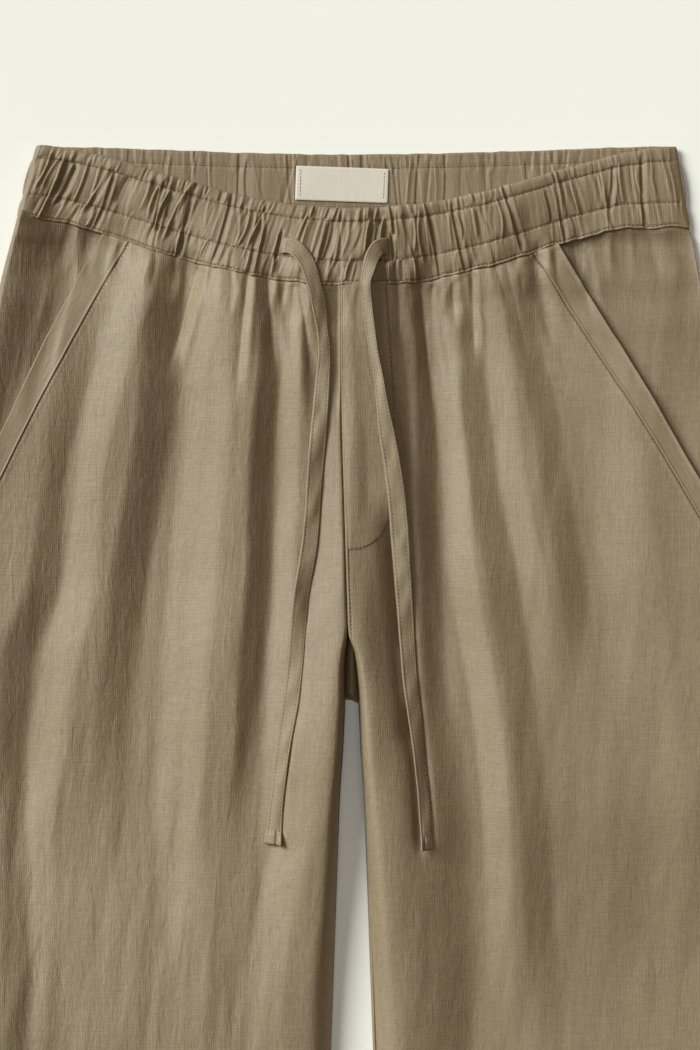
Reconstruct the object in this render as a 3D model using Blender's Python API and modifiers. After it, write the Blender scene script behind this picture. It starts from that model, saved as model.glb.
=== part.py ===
"""Drawstring trousers in linen, laid flat with the front up: the pieces that a maker cuts and sews.

X runs across the garment, with the wearer's right side at -X. Y runs up the garment to the waist, and Z is up.
The origin is on the surface that the trousers lie on, under the middle of the garment. Lengths are in metres.
"down" is the distance from the top corners of the waistband towards the hems. Across a leg, u is 0 at the
centre seam or inseam and 1 at the side seam. Along a panel, q is 0 at the waistband's seam and 1 at the hem.
"""

from collections import namedtuple

import bmesh
import bpy
import numpy as np
from mathutils import Vector
from mathutils.bvhtree import BVHTree

# Driving dimensions.
LENGTH = 1.070  # top corner of the waistband to the hem
BAND_SIDE = 0.047  # height of the waistband at the side seams
BAND_RISE = 0.004  # and how much taller it is at the centre front
FRONT_DIP = 0.041  # the front's top edge lies this far below the corners at the centre
BACK_DIP = 0.0065  # and the back's top edge this far
BACK_BAND = 0.050
CLOTH = 0.0015  # the wall of a panel
BAND_CLOTH = 0.0030  # the wall of the gathered waistband: two layers round an elastic
BACK_CLOTH = 0.0016
SEAM = 0.0008  # the space that is left between pieces at a seam
RIM = 0.0052  # the front's edge at the side seam and inseam is this high
BACK_RIM = 0.0021  # the back's edge curls up this far to meet it
BACK_ROLL = 0.009
INNER_ROLL = 0.018  # the front rolls down to the inseam within this width
FRONT_CROTCH_DOWN = 0.325
BACK_CROTCH_DOWN = 0.358  # the seat seam runs down to here, past the front's crotch
BACK_BAND_CLOTH = 0.0026
BAND_LIFT = 0.0008  # the gathered waistband stands this far above the panels
TUNNELS = (0.0, 0.19, 0.44, 0.69, 1.0)  # the waistband's edges, stitch rows and middle tunnel, down its height
TUNNEL_SWELL = (0.0, -0.0006, 0.0006, -0.0006, 0.0002)  # and how far it stands out there
GATHER = 0.0009  # the height of the waistband's broad gathers
FLY_WIDTH = 0.027
FLY_CURVE_DOWN, FLY_END_DOWN = 0.243, 0.264  # where the fly's rounded end starts and stops
FLY_CLOTH = 0.0008
LAID_GAP = 0.0005  # what is sewn on a panel clears it by this much
CORD_WIDTH, CORD_CLOTH = 0.010, 0.0012
SLIT_LENGTH, SLIT_WIDTH = 0.016, 0.0044
SLIT_DIP = 0.0030  # how far down its slit a cord's solid starts
LABEL_WIDTH, LABEL_HEIGHT, LABEL_CLOTH = 0.060, 0.022, 0.0006
LABEL_X, LABEL_DOWN, LABEL_TURN = -0.0065, 0.0245, -0.035

Section = namedtuple("Section", "down half_width lean seam_x gap crown middle roll")
# half_width runs from lean to the side seams, and gap is half the space between the legs, on each side of seam_x.
# crown, middle and roll are the front's height, its height beside the centre line and how wide it rolls over.
SECTIONS = (
    Section(0.000, 0.2090, 0.0028, -0.0038, 0.0002, 0.0135, 0.0130, 0.012),
    Section(0.047, 0.2190, 0.0003, -0.0038, 0.0002, 0.0155, 0.0150, 0.016),
    Section(0.092, 0.2288, -0.0012, -0.0038, 0.0002, 0.0185, 0.0175, 0.022),
    Section(0.170, 0.2420, -0.0004, -0.0038, 0.0002, 0.0215, 0.0200, 0.028),
    Section(0.250, 0.2510, 0.0000, -0.0036, 0.0002, 0.0230, 0.0215, 0.030),
    Section(0.310, 0.2548, 0.0000, -0.0020, 0.0003, 0.0235, 0.0205, 0.030),
    Section(0.340, 0.2560, 0.0000, -0.0004, 0.0020, 0.0235, 0.0120, 0.030),
    Section(0.365, 0.2565, 0.0000, 0.0000, 0.0048, 0.0235, 0.0050, 0.030),
    Section(0.450, 0.2555, 0.0000, 0.0000, 0.0082, 0.0230, 0.0050, 0.030),
    Section(0.590, 0.2525, 0.0000, 0.0000, 0.0137, 0.0220, 0.0050, 0.030),
    Section(0.780, 0.2490, 0.0000, 0.0000, 0.0212, 0.0200, 0.0050, 0.028),
    Section(1.000, 0.2458, 0.0000, 0.0000, 0.0298, 0.0175, 0.0050, 0.026),
    Section(LENGTH, 0.2450, 0.0000, 0.0000, 0.0325, 0.0150, 0.0050, 0.024),
)

Fold = namedtuple("Fold", "x_top down_top x_mid x_low down_low depth width")
FOLDS = (  # troughs: where each starts, bends and ends, how deep it is and how far it reaches to each side
    Fold(-0.196, 0.050, -0.213, -0.222, 0.190, 0.0030, 0.008),
    Fold(-0.164, 0.135, -0.190, -0.228, 0.375, 0.0045, 0.011),
    Fold(-0.103, 0.066, -0.134, -0.157, 0.406, 0.0055, 0.013),
    Fold(-0.048, 0.072, -0.059, -0.071, 0.470, 0.0050, 0.011),
    Fold(-0.010, 0.092, -0.014, -0.020, 0.230, 0.0020, 0.007),
    Fold(-0.120, 0.520, -0.130, -0.146, 0.800, 0.0030, 0.014),
    Fold(-0.062, 0.580, -0.074, -0.084, 0.930, 0.0030, 0.014),
    Fold(-0.190, 0.560, -0.198, -0.205, 0.880, 0.0025, 0.012),
    Fold(-0.120, 0.840, -0.118, -0.124, 1.060, 0.0030, 0.016),
    Fold(0.026, 0.070, 0.034, 0.040, 0.250, 0.0045, 0.007),
    Fold(0.045, 0.086, 0.057, 0.067, 0.400, 0.0050, 0.009),
    Fold(0.025, 0.262, 0.029, 0.045, 0.450, 0.0040, 0.008),
    Fold(0.085, 0.120, 0.110, 0.128, 0.600, 0.0040, 0.013),
    Fold(0.107, 0.084, 0.138, 0.162, 0.330, 0.0035, 0.012),
    Fold(0.061, 0.365, 0.067, 0.064, 0.660, 0.0040, 0.013),
    Fold(0.180, 0.430, 0.187, 0.191, 0.700, 0.0025, 0.014),
    Fold(0.100, 0.640, 0.094, 0.098, 0.980, 0.0030, 0.015),
    Fold(0.150, 0.720, 0.156, 0.152, 1.060, 0.0030, 0.015),
    Fold(0.205, 0.760, 0.208, 0.204, 0.990, 0.0025, 0.011),
)

Pocket = namedtuple("Pocket", "side opening_u opening_end seam_u seam_end")
POCKETS = {  # where the slant opening and the band's seam leave the waistband (u) and reach the side seam (q)
    "right": Pocket(-1.0, 0.725, 0.186, 0.640, 0.215),
    "left": Pocket(1.0, 0.622, 0.206, 0.547, 0.232),
}
BAND_TIP = 0.007  # the band ends this far, in q, above its seam's low end
FACING_END = 0.975  # and the facing at this share of the opening's length
FACING_UNDERLAP = 0.045  # how far, in u, the facing goes on under the band
FACING_DROP = 0.0034  # how far under the front it lies

CORDS = {  # each free end's route over the front, from its slit: x and down
    "drawstring_right": (
        (-0.0450, 0.0655), (-0.0385, 0.0657), (-0.0320, 0.0710), (-0.0270, 0.0785), (-0.0240, 0.0870),
        (-0.0200, 0.1000), (-0.0180, 0.1170), (-0.0170, 0.1360), (-0.0180, 0.1560), (-0.0200, 0.1790),
        (-0.0225, 0.2090), (-0.0265, 0.2550), (-0.0315, 0.2950), (-0.0365, 0.3430), (-0.0400, 0.3670),
        (-0.0435, 0.3920), (-0.0475, 0.4300), (-0.0500, 0.4540),
    ),
    "drawstring_left": (
        (0.0260, 0.0655), (0.0200, 0.0660), (0.0145, 0.0730), (0.0120, 0.0815), (0.0105, 0.0900),
        (0.0115, 0.1040), (0.0135, 0.1200), (0.0155, 0.1335), (0.0190, 0.1520), (0.0230, 0.1790),
        (0.0280, 0.2090), (0.0315, 0.2375), (0.0330, 0.2625), (0.0355, 0.2970), (0.0375, 0.3220),
        (0.0395, 0.3465), (0.0430, 0.3710), (0.0465, 0.3935), (0.0480, 0.4175), (0.0505, 0.4570),
    ),
}
CORD_STEP = 0.011  # the distance between a cord's sections
CORD_LIFT = 0.0007  # how far a cord's solid clears what it lies on
FRONT_COLUMNS, POCKET_BAND_COLUMNS, FACING_COLUMNS, BAND_COLUMNS, BACK_BAND_COLUMNS = 21, 7, 10, 57, 41

SIDES = {"right": -1.0, "left": 1.0}
LINEN = (0.262, 0.205, 0.136)
LINEN_DARK = (0.215, 0.166, 0.108)
LABEL_CREAM = (0.62, 0.56, 0.46)


def through(at, places, values):
    """A smooth curve through (places, values) that never overshoots, read at each number of at."""
    places, values = np.asarray(places, float), np.asarray(values, float)
    steps = np.diff(values) / np.diff(places)
    slopes = np.zeros_like(values)
    same = steps[:-1] * steps[1:] > 0
    slopes[1:-1][same] = 2 * steps[:-1][same] * steps[1:][same] / (steps[:-1] + steps[1:])[same]
    slopes[0], slopes[-1] = steps[0], steps[-1]
    at = np.clip(at, places[0], places[-1])
    i = np.clip(np.searchsorted(places, at) - 1, 0, len(places) - 2)
    width = places[i + 1] - places[i]
    t = (at - places[i]) / width
    ends = (2 * t**3 - 3 * t**2 + 1) * values[i] + (3 * t**2 - 2 * t**3) * values[i + 1]
    bends = (t**3 - 2 * t**2 + t) * slopes[i] + (t**3 - t**2) * slopes[i + 1]
    return ends + width * bends


def section(column, down):
    """A column of SECTIONS at any distance down."""
    return through(down, [s.down for s in SECTIONS], [getattr(s, column) for s in SECTIONS])


def ease(t):
    """0 to 1 with level ends."""
    t = np.clip(t, 0.0, 1.0)
    return t * t * (3 - 2 * t)


def quarter(t):
    """The height of a quarter circle of radius 1 at t in from its rim."""
    return np.sqrt(1 - (1 - np.clip(t, 0.0, 1.0)) ** 2)


def swag(u):
    """How far a waist curve dips at u: 1 at the centre and 0 at the side seams."""
    return (1 - np.clip(np.abs(u), 0.0, 1.0) ** 2) ** 1.5


def band_top(u):
    return FRONT_DIP * swag(u)


def band_seam(u):
    return band_top(u) + BAND_SIDE + BAND_RISE * swag(u)


def back_top(u):
    return BACK_DIP * swag(u)


def fold_depth(x, down):
    """How far the troughs lower the front at a point: each is a soft groove with slightly raised shoulders."""
    total = np.zeros(np.broadcast(x, down).shape)
    for fold in FOLDS:
        t = (down - fold.down_top) / (fold.down_low - fold.down_top)
        bow = fold.x_mid - (fold.x_top + fold.x_low) / 2
        centre = fold.x_top + (fold.x_low - fold.x_top) * t + 4 * bow * t * (1 - t)
        across = (x - centre) / fold.width
        groove = np.exp(-(across**2)) - 0.35 * np.exp(-((across / 2.2) ** 2))
        total += fold.depth * groove * ease(t / 0.12) * ease((1 - t) / 0.45)
    return total


def front_height(x, down):
    """The top of the front cloth: level in the middle, rolled down at the side seam and the inseam, with folds."""
    crown = section("crown", down)
    from_side = section("half_width", down) - np.abs(x - section("lean", down))
    from_middle = np.abs(x - section("seam_x", down)) - section("gap", down)
    side_roll = quarter(from_side / section("roll", down))
    middle_roll = quarter(from_middle / INNER_ROLL)
    middle = section("middle", down)
    in_legs = np.clip((crown - middle) / (crown - RIM), 0.0, 1.0)
    height = RIM + (crown - RIM) * side_roll - (crown - middle) * (1 - middle_roll)
    return height - fold_depth(x, down) * side_roll * (1 - in_legs * (1 - middle_roll))


def across(side, u, down):
    """The x at u between the centre and the side seam."""
    inner = section("seam_x", down) + side * section("gap", down)
    outer = section("lean", down) + side * section("half_width", down)
    return inner + u * (outer - inner)


def panel_top(side, u):
    """How far down a front panel's top edge is at u: just clear of the waistband's seam."""
    down = band_seam(u)
    u_of_band = (across(side, u, down) - section("lean", down)) / section("half_width", down)
    return band_seam(u_of_band) + SEAM


def place(x, down, height):
    """Points of the row frame, from x, down and height."""
    return np.stack(np.broadcast_arrays(x, LENGTH / 2 - down, height), axis=-1)


def even(row, count):
    """The line of points again, with count points at even distances along it."""
    along = np.concatenate([[0.0], np.cumsum(np.linalg.norm(np.diff(row, axis=0), axis=1))])
    at = np.linspace(0.0, along[-1], count)
    return np.stack([np.interp(at, along, row[:, k]) for k in range(3)], axis=1)


def front_grid(side, rows, u_in, u_out, columns):
    """A grid of points on the front cloth from u_in(q) to u_out(q), evenly spaced along each row."""
    dense = 0.5 - 0.5 * np.cos(np.linspace(0.0, np.pi, 241))
    grid = []
    for q in rows:
        u = u_in(q) + (u_out(q) - u_in(q)) * dense
        top = panel_top(side, u)
        down = top + q * (LENGTH - top)
        x = across(side, u, down)
        grid.append(even(place(x, down, front_height(x, down)), columns))
    return np.array(grid)


def moved_in(points, distance):
    """The grid of points moved towards the inside of the garment, square to the cloth."""
    normal = np.cross(np.gradient(points, axis=1), np.gradient(points, axis=0))
    normal *= np.where(normal[..., 2:] < 0, -1.0, 1.0) / np.linalg.norm(normal, axis=2)[..., None]
    return points - distance * normal


def material(name, colour, roughness=0.92):
    made = bpy.data.materials.get(name) or bpy.data.materials.new(name)
    made.use_nodes = True
    shader = made.node_tree.nodes["Principled BSDF"]
    shader.inputs["Base Color"].default_value = (*colour, 1.0)
    shader.inputs["Roughness"].default_value = roughness
    shader.inputs["Metallic"].default_value = 0.0
    return made


def grid_mesh(points):
    """A bmesh grid laid through an array of points, rows by columns."""
    rows, columns = points.shape[:2]
    mesh = bmesh.new()
    bmesh.ops.create_grid(mesh, x_segments=columns - 1, y_segments=rows - 1, size=1.0)
    for vertex in mesh.verts:
        column = round((vertex.co.x + 1) / 2 * (columns - 1))
        row = round((vertex.co.y + 1) / 2 * (rows - 1))
        vertex.co = points[row, column]
    return mesh


def turn_faces(mesh, upwards):
    mesh.normal_update()
    if (sum(face.normal.z * face.calc_area() for face in mesh.faces) > 0) != upwards:
        bmesh.ops.reverse_faces(mesh, faces=mesh.faces[:])


def finish_object(name, mesh, finish):
    data = bpy.data.meshes.new(name)
    mesh.to_mesh(data)
    mesh.free()
    data.materials.append(finish)
    data.shade_smooth()
    made = bpy.data.objects.new(name, data)
    GARMENT.objects.link(made)
    return made


def wall(name, points, thickness, finish):
    """A piece of cloth: an open surface through the points, with its thickness below."""
    mesh = grid_mesh(points)
    turn_faces(mesh, upwards=True)
    made = finish_object(name, mesh, finish)
    solidify = made.modifiers.new("cloth", "SOLIDIFY")
    solidify.thickness = thickness
    solidify.offset = -1.0
    solidify.use_even_offset = True
    return made


def slab(name, bottom, top_heights, finish):
    """A piece that lies on something: a grid of bottom points, raised to the top heights."""
    mesh = grid_mesh(bottom)
    columns = bottom.shape[1]
    place_in_grid = mesh.verts.layers.int.new("place in grid")
    for vertex in mesh.verts:
        away = np.linalg.norm(bottom.reshape(-1, 3) - np.array(vertex.co), axis=1)
        vertex[place_in_grid] = int(np.argmin(away))
    raised = bmesh.ops.extrude_face_region(mesh, geom=mesh.faces[:], use_keep_orig=True)["geom"]
    for vertex in (item for item in raised if isinstance(item, bmesh.types.BMVert)):
        vertex.co.z = top_heights[divmod(vertex[place_in_grid], columns)]
    bmesh.ops.recalc_face_normals(mesh, faces=mesh.faces[:])
    return finish_object(name, mesh, finish)


def edge_of(pocket, which):
    """u of the pocket's opening or seam as a function of q: a straight slant that ends at the side seam."""
    start, end = getattr(pocket, which + "_u"), getattr(pocket, which + "_end")
    return lambda q: min(1.0, start + (1 - start) * q / end)


def front_rows(pocket):
    """The rows that a side's front pieces share: close together at the crotch and at the slant's low end."""
    centre = band_seam(0.0)
    near_crotch = FRONT_CROTCH_DOWN + np.array([-0.015, 0.0, 0.015, 0.027, 0.040])
    crotch = list((near_crotch - centre) / (LENGTH - centre))
    slant = [share * pocket.opening_end for share in (0.80, 0.91, FACING_END)]
    needed = crotch + slant + [pocket.seam_end - BAND_TIP, pocket.seam_end]
    spread = [q for q in np.linspace(0.0, 1.0, 19) ** 1.1 if min(abs(q - other) for other in needed) > 0.014]
    return sorted(spread + needed)


def make_fronts():
    for name, pocket in POCKETS.items():
        rows = front_rows(pocket)
        seam, opening = edge_of(pocket, "seam"), edge_of(pocket, "opening")
        seam_gap = SEAM / section("half_width", 0.15)
        panel = front_grid(pocket.side, rows, lambda q: 0.0, seam, FRONT_COLUMNS)
        wall(f"front_{name}", panel, CLOTH, material("linen", LINEN))
        band_rows = [q for q in rows if q < pocket.seam_end]
        band = front_grid(pocket.side, band_rows, lambda q: seam(q) + seam_gap, opening, POCKET_BAND_COLUMNS)
        wall(f"pocket_band_{name}", band, CLOTH, material("linen band", LINEN))
        facing_rows = [q for q in rows if q <= FACING_END * pocket.opening_end]
        tucked = lambda q: opening(q) - FACING_UNDERLAP
        facing = front_grid(pocket.side, facing_rows, tucked, lambda q: 1.0, FACING_COLUMNS)
        facing = moved_in(facing, FACING_DROP)
        facing[..., 2] = np.maximum(facing[..., 2], RIM)
        wall(f"pocket_facing_{name}", facing, CLOTH, material("linen facing", LINEN_DARK))


def back_middle(down):
    """Half the gap between the backs: the seat seam, then the inseams from the crotch down."""
    opened = section("gap", down) * ease((down - BACK_CROTCH_DOWN + 0.006) / 0.013)
    return np.where(down < BACK_CROTCH_DOWN, SEAM / 2, np.maximum(opened, SEAM / 2))


def make_backs():
    u = np.array([0.0, 0.04, 0.12, 0.3, 0.5, 0.7, 0.9, 0.965, 1.0])
    top = back_top(u) + BACK_BAND + SEAM
    crotch = (BACK_CROTCH_DOWN + 0.004 - top[0]) / (LENGTH - top[0])
    upper = [0.0, 0.05, 0.13, 0.22, 0.25, 0.28, crotch]
    levels = np.array(upper + [crotch + 0.012, 0.345, 0.40, 0.52, 0.66, 0.82, 1.0])
    for name, side in SIDES.items():
        down = top + levels[:, None] * (LENGTH - top)
        middle = side * back_middle(down)
        side_seam = section("lean", down) + side * section("half_width", down)
        x = middle + u * (side_seam - middle)
        from_side = np.abs(side_seam - x)
        from_middle = np.abs(x - middle)
        side_curl = 1 - quarter(from_side / BACK_ROLL)
        inseam_curl = (1 - quarter(from_middle / BACK_ROLL)) * ease((down - BACK_CROTCH_DOWN - 0.004) / 0.02)
        curl = np.maximum(side_curl, inseam_curl)
        bottom = BACK_RIM * curl
        slab(f"back_{name}", place(x, down, bottom), bottom + BACK_CLOTH, material("linen", LINEN))


def gathers(x):
    """The broad waves of the elastic gathers, from -1 to 1."""
    uneven = np.sin(2 * np.pi * x / 0.027 + 3 * np.sin(x / 0.045))
    return 0.6 * uneven + 0.4 * np.sin(2 * np.pi * x / 0.0405 + 1.3)


def make_waistband_front():
    u = np.linspace(-1.0, 1.0, BAND_COLUMNS)
    depth, swell = np.array(TUNNELS)[:, None], np.array(TUNNEL_SWELL)[:, None]
    down = band_top(u) + depth * (band_seam(u) - band_top(u))
    x = section("lean", down) + u * section("half_width", down)
    height = front_height(x, down) + BAND_LIFT * quarter((1 - np.abs(u)) * 12)
    ruffle = (swell + GATHER * gathers(x)) * quarter((1 - np.abs(u)) * 8)
    return wall("waistband_front", place(x, down, height + ruffle), BAND_CLOTH, material("linen", LINEN))


def make_waistband_back():
    u = np.linspace(-1.0, 1.0, BACK_BAND_COLUMNS)
    depth = np.array([0.0, 0.19, 0.69, 1.0])[:, None]
    down = back_top(u) + depth * BACK_BAND
    x = section("lean", down) + u * section("half_width", down)
    top = BACK_BAND_CLOTH + GATHER / 2 * gathers(x + 0.01) * quarter((1 - np.abs(u)) * 8)
    slab("waistband_back", place(x, down, np.zeros_like(x)), top, material("linen", LINEN))


def cut_slits(band):
    """The slits that the drawstring comes out of, cut through the front of the waistband."""
    for name, route in CORDS.items():
        x, down = route[0]
        bpy.ops.mesh.primitive_cube_add(size=1.0, location=(x, LENGTH / 2 - down, 0.015))
        cutter = bpy.context.object
        cutter.name = f"cut_{name}"
        cutter.scale = (SLIT_WIDTH, SLIT_LENGTH, 0.02)
        for holder in cutter.users_collection:
            holder.objects.unlink(cutter)
        CUTTERS.objects.link(cutter)
        cutter.hide_render = True
        cutter.display_type = "WIRE"
        slit = band.modifiers.new(f"slit {name}", "BOOLEAN")
        slit.operation = "DIFFERENCE"
        slit.object = cutter


def trees_of(*names):
    graph = bpy.context.evaluated_depsgraph_get()
    return [BVHTree.FromObject(bpy.data.objects[name], graph) for name in names]


def rest_height(trees, x, y, reach):
    """The highest point of the pieces below, within reach of x and y."""
    heights = []
    offsets = np.linspace(-reach, reach, 5)
    for dx in offsets:
        for dy in offsets:
            for tree in trees:
                hit = tree.ray_cast(Vector((x + dx, y + dy, 1.0)), Vector((0, 0, -1)))[0]
                if hit is not None:
                    heights.append(hit.z)
    return max(heights)


def laid(trees, points, lift, reach):
    """The points with their heights set to lie on the pieces below."""
    points = points.copy()
    for point in points.reshape(-1, 3):
        point[2] = rest_height(trees, point[0], point[1], reach) + lift
    return points


def make_fly():
    """The mock fly's facing, as its stitching shows it: a strip beside the centre seam with a rounded end."""
    start = band_seam(0.06) + 2 * SEAM
    turn = np.linspace(0.0, np.pi / 2, 5)[1:]
    end = FLY_CURVE_DOWN + (FLY_END_DOWN - FLY_CURVE_DOWN) * np.sin(turn)
    down = np.concatenate([np.linspace(start, FLY_CURVE_DOWN, 9), end])
    width = FLY_WIDTH * np.concatenate([np.ones(9), np.maximum(np.cos(turn), 0.15)])
    x = section("seam_x", down)[:, None] + LAID_GAP + width[:, None] * np.linspace(0.0, 1.0, 5)
    grid = laid(trees_of("front_left"), place(x, down[:, None], 0.0), FLY_CLOTH + LAID_GAP, 0.003)
    wall("fly_facing", grid, FLY_CLOTH, material("linen", LINEN))


def make_label():
    """A woven label, blank, sewn inside the back of the waistband."""
    turn, half = LABEL_TURN, (LABEL_WIDTH / 2, LABEL_HEIGHT / 2)
    i, j = np.meshgrid(np.linspace(-half[0], half[0], 9), np.linspace(half[1], -half[1], 4))
    x = LABEL_X + i * np.cos(turn) - j * np.sin(turn)
    down = LABEL_DOWN - (i * np.sin(turn) + j * np.cos(turn))
    bottom = laid(trees_of("waistband_back"), place(x, down, 0.0), LAID_GAP, 0.004)
    slab("label", bottom, bottom[..., 2] + LABEL_CLOTH, material("label", LABEL_CREAM, 0.8))


def smooth_route(points, step):
    """Points at even steps along a smooth curve through the route's own, and the curve's heading at each."""
    points = np.array(points)
    along = np.concatenate([[0.0], np.cumsum(np.linalg.norm(np.diff(points, axis=0), axis=1))])
    at = np.linspace(0.0, along[-1], round(along[-1] / step) + 1)
    here, ahead, behind = (
        np.stack([through(at + shift, along, points[:, k]) for k in range(2)], axis=1)
        for shift in (0.0, 0.001, -0.001)
    )
    return here, (ahead - behind) / np.linalg.norm(ahead - behind, axis=1)[:, None]


def make_cord(name, route):
    """One free end of the flat drawstring, from inside its slit and over the front to its cut end."""
    middle, heading = smooth_route([(x, LENGTH / 2 - down) for x, down in route], CORD_STEP)
    sideways = np.stack([-heading[:, 1], heading[:, 0]], axis=1)
    offsets = np.array([-0.5, 0.0, 0.5]) * CORD_WIDTH
    flat = middle[:, None, :] + offsets[None, :, None] * sideways[:, None, :]
    points = np.concatenate([flat, np.zeros((*flat.shape[:2], 1))], axis=2)
    trees = trees_of("waistband_front", "front_right", "front_left", "fly_facing")
    points = laid(trees, points, CORD_LIFT + CORD_CLOTH, 0.6 * CORD_STEP)
    points[..., 2] = points[..., 2].max(axis=1)[:, None]
    inside = points[:1] - (0.0, 0.0, SLIT_DIP)
    points = np.concatenate([inside, points])
    wall(name, points, CORD_CLOTH, material("linen cord", LINEN))


def collection(name):
    made = bpy.data.collections.new(name)
    bpy.context.scene.collection.children.link(made)
    return made


for left_over in list(bpy.data.objects):
    bpy.data.objects.remove(left_over, do_unlink=True)
GARMENT = collection("drawstring_trousers")
CUTTERS = collection("cutters")
make_backs()
make_fronts()
make_waistband_back()
cut_slits(make_waistband_front())
bpy.context.view_layer.update()
make_fly()
make_label()
bpy.context.view_layer.update()
for cord_name, cord_route in CORDS.items():
    make_cord(cord_name, cord_route)
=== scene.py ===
"""Drawstring trousers in slubby linen, laid flat with the front up: the looks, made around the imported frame.

X runs across the garment, with the wearer's right at -X, Y runs up it to the waist and Z is up. Lengths are
in metres, apart from the tables that say millimetres. "down" is the distance below the waistband's corners.
Across a leg, u is 0 at the centre seam or the inseam and 1 at the side seam, and across the waist it runs
from -1 to 1. Along a panel, q is 0 at the waistband's seam and 1 at the hem. Down the waistband, v is 0 at
its top edge and 1 at its seam.
"""

from collections import namedtuple

import bpy
import numpy as np
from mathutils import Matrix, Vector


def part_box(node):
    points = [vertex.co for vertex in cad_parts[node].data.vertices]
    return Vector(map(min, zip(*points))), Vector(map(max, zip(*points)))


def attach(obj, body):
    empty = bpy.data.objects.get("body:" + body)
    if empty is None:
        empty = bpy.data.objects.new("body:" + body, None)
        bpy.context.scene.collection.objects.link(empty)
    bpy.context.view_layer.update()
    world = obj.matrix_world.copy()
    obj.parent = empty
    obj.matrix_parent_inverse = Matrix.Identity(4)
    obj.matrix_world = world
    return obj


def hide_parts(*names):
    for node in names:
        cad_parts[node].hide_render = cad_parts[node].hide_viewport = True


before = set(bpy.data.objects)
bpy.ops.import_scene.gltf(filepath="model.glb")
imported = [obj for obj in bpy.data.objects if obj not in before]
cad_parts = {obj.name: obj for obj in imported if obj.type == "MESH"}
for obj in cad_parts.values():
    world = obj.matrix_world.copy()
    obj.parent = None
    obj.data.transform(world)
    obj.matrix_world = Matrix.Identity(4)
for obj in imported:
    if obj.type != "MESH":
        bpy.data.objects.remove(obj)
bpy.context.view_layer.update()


def mm_pairs(*numbers):
    """Pairs in metres, from numbers in millimetres that are taken two by two."""
    return tuple(zip(np.array(numbers[::2]) / 1000, np.array(numbers[1::2]) / 1000))


# Sizes that the frame gives.
TOP_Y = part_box("waistband_front")[1][1]
HEM_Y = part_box("front_left")[0][1]
LENGTH = TOP_Y - HEM_Y

# The waistband.
BAND_SIDE, BAND_RISE = 0.047, 0.004  # its height at the side seams, and how much more it has at the centre
FRONT_DIP, BACK_DIP, BACK_BAND = 0.041, 0.0053, 0.050  # how far its two top edges dip, and its back's height
BAND_TALL = 0.051  # its height in the tables of creases, which count from its top edge
WAIST_HALF = 0.232  # the seeded creases fill this much to both sides of the middle
# Where its seam strays from an even curve: u across the waist, and how far down.
SEAM_DROPS = ((-1.0, 0.0), (0.30, 0.0), (0.60, -0.0014), (0.80, 0.0002), (0.88, 0.0042), (1.0, 0.0072))
TOP_ROW, LOW_ROW, SEAM_ROW = 0.17, 0.675, 0.955  # its stitch rows, as v
CALM_PLACES = (-0.145, 0.118)  # where its pleats lie nearly flat
BAND_PROUD = 0.0003  # it lies this far above the panels that it is sewn to
BAND_CLOTH = 0.0009

CLOTH = 0.0008
RIM = 0.0042  # the front's edge at the side seam and inseam is this high
TUCK = 0.0022  # the panels dip this far under the waistband
HALF_HIP = 0.235  # about the distance from the middle to a side seam: it turns a length into a step of u
CENTRE_STITCH = 0.0023  # the centre seam is stitched this far beside its join
CENTRE_END = 0.335  # where it ends and the legs part
HEM_TALL = 0.025
BACK_RIM, BACK_ROLL = 0.0021, 0.009  # how high the back's edges curl up, and over what width
BACK_CLOTH = 0.0012
BACK_CROTCH_DOWN = 0.3618
SEAT_RIDGE = mm_pairs(312, 17.2, 330, 15.5, 345, 12.5, 362, 8.2)  # down, how high the seat seam stands

Section = namedtuple("Section", "down half_width lean seam_x gap crown middle roll")
# half_width runs from lean to the side seams, and gap is half the space between the legs, beside seam_x.
# crown, middle and roll are the front's height, its height beside the centre line and how wide it rolls over.
# The rows are in millimetres, from the waistband's top down to the hem.
SECTIONS = [
    Section(*(number / 1000 for number in row))
    for row in (
        (0, 209, 2.8, -7.4, 0.1, 13.5, 13.2, 12),
        (47, 219, 0.3, -7.6, 0.1, 15.5, 15.2, 16),
        (92, 228.8, -1.2, -7.6, 0.1, 18.5, 18.2, 22),
        (170, 242, -0.4, -7, 0.1, 21.5, 21.1, 28),
        (250, 251, 0, -4.8, 0.1, 23, 22.7, 30),
        (310, 254.8, 0, -3, 0.1, 23.5, 22.8, 30),
        (318, 255.1, 0, -2.7, 0.3, 23.5, 21.2, 30),
        (323, 255.3, 0, -2.2, 1.2, 23.5, 18, 30),
        (329, 255.6, 0, -1.5, 2.6, 23.5, 14, 30),
        (341, 256, 0, -1, 3.8, 23.5, 9, 30),
        (361, 256.5, 0, -0.3, 4.7, 23.5, 5.5, 30),
        (387, 256.4, 0, -0.4, 5.6, 23.2, 4.5, 30),
        (426, 256, 0, -0.4, 8.1, 22.2, 4, 30),
        (470, 255, 0, 0, 9.7, 20.5, 3.8, 30),
        (590, 252.5, 0, 0, 14, 19, 3.8, 30),
        (780, 249, 0, 0, 21.2, 18, 4, 28),
        (1000, 245.8, 0, 0, 29.8, 16.5, 4.5, 26),
        (1000 * LENGTH, 245, 0, 0, 32.5, 15, 5, 24),
    )
]

# How wide the front rolls over at places down it. At the side seams the lesser of this and the sections' roll
# is taken, times a share for each side. The others are for the inseams.
SIDE_ROLLS = mm_pairs(50, 10, 180, 14, 400, 30)
RIGHT_ROLLS = mm_pairs(320, 3, 340, 4, 400, 5, 440, 6.8, 500, 10.5, 560, 15.5, 1070, 22)
LEFT_ROLLS = mm_pairs(320, 3, 340, 4, 400, 6, 450, 9, 500, 12, 560, 15, 1070, 22)
LEG_FALL = 0.0038  # the wearer's right leg falls by this towards its inseam, below the crotch
LEFT_FALL = 0.0095  # the whole of the wearer's left falls by this towards its side seam

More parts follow.
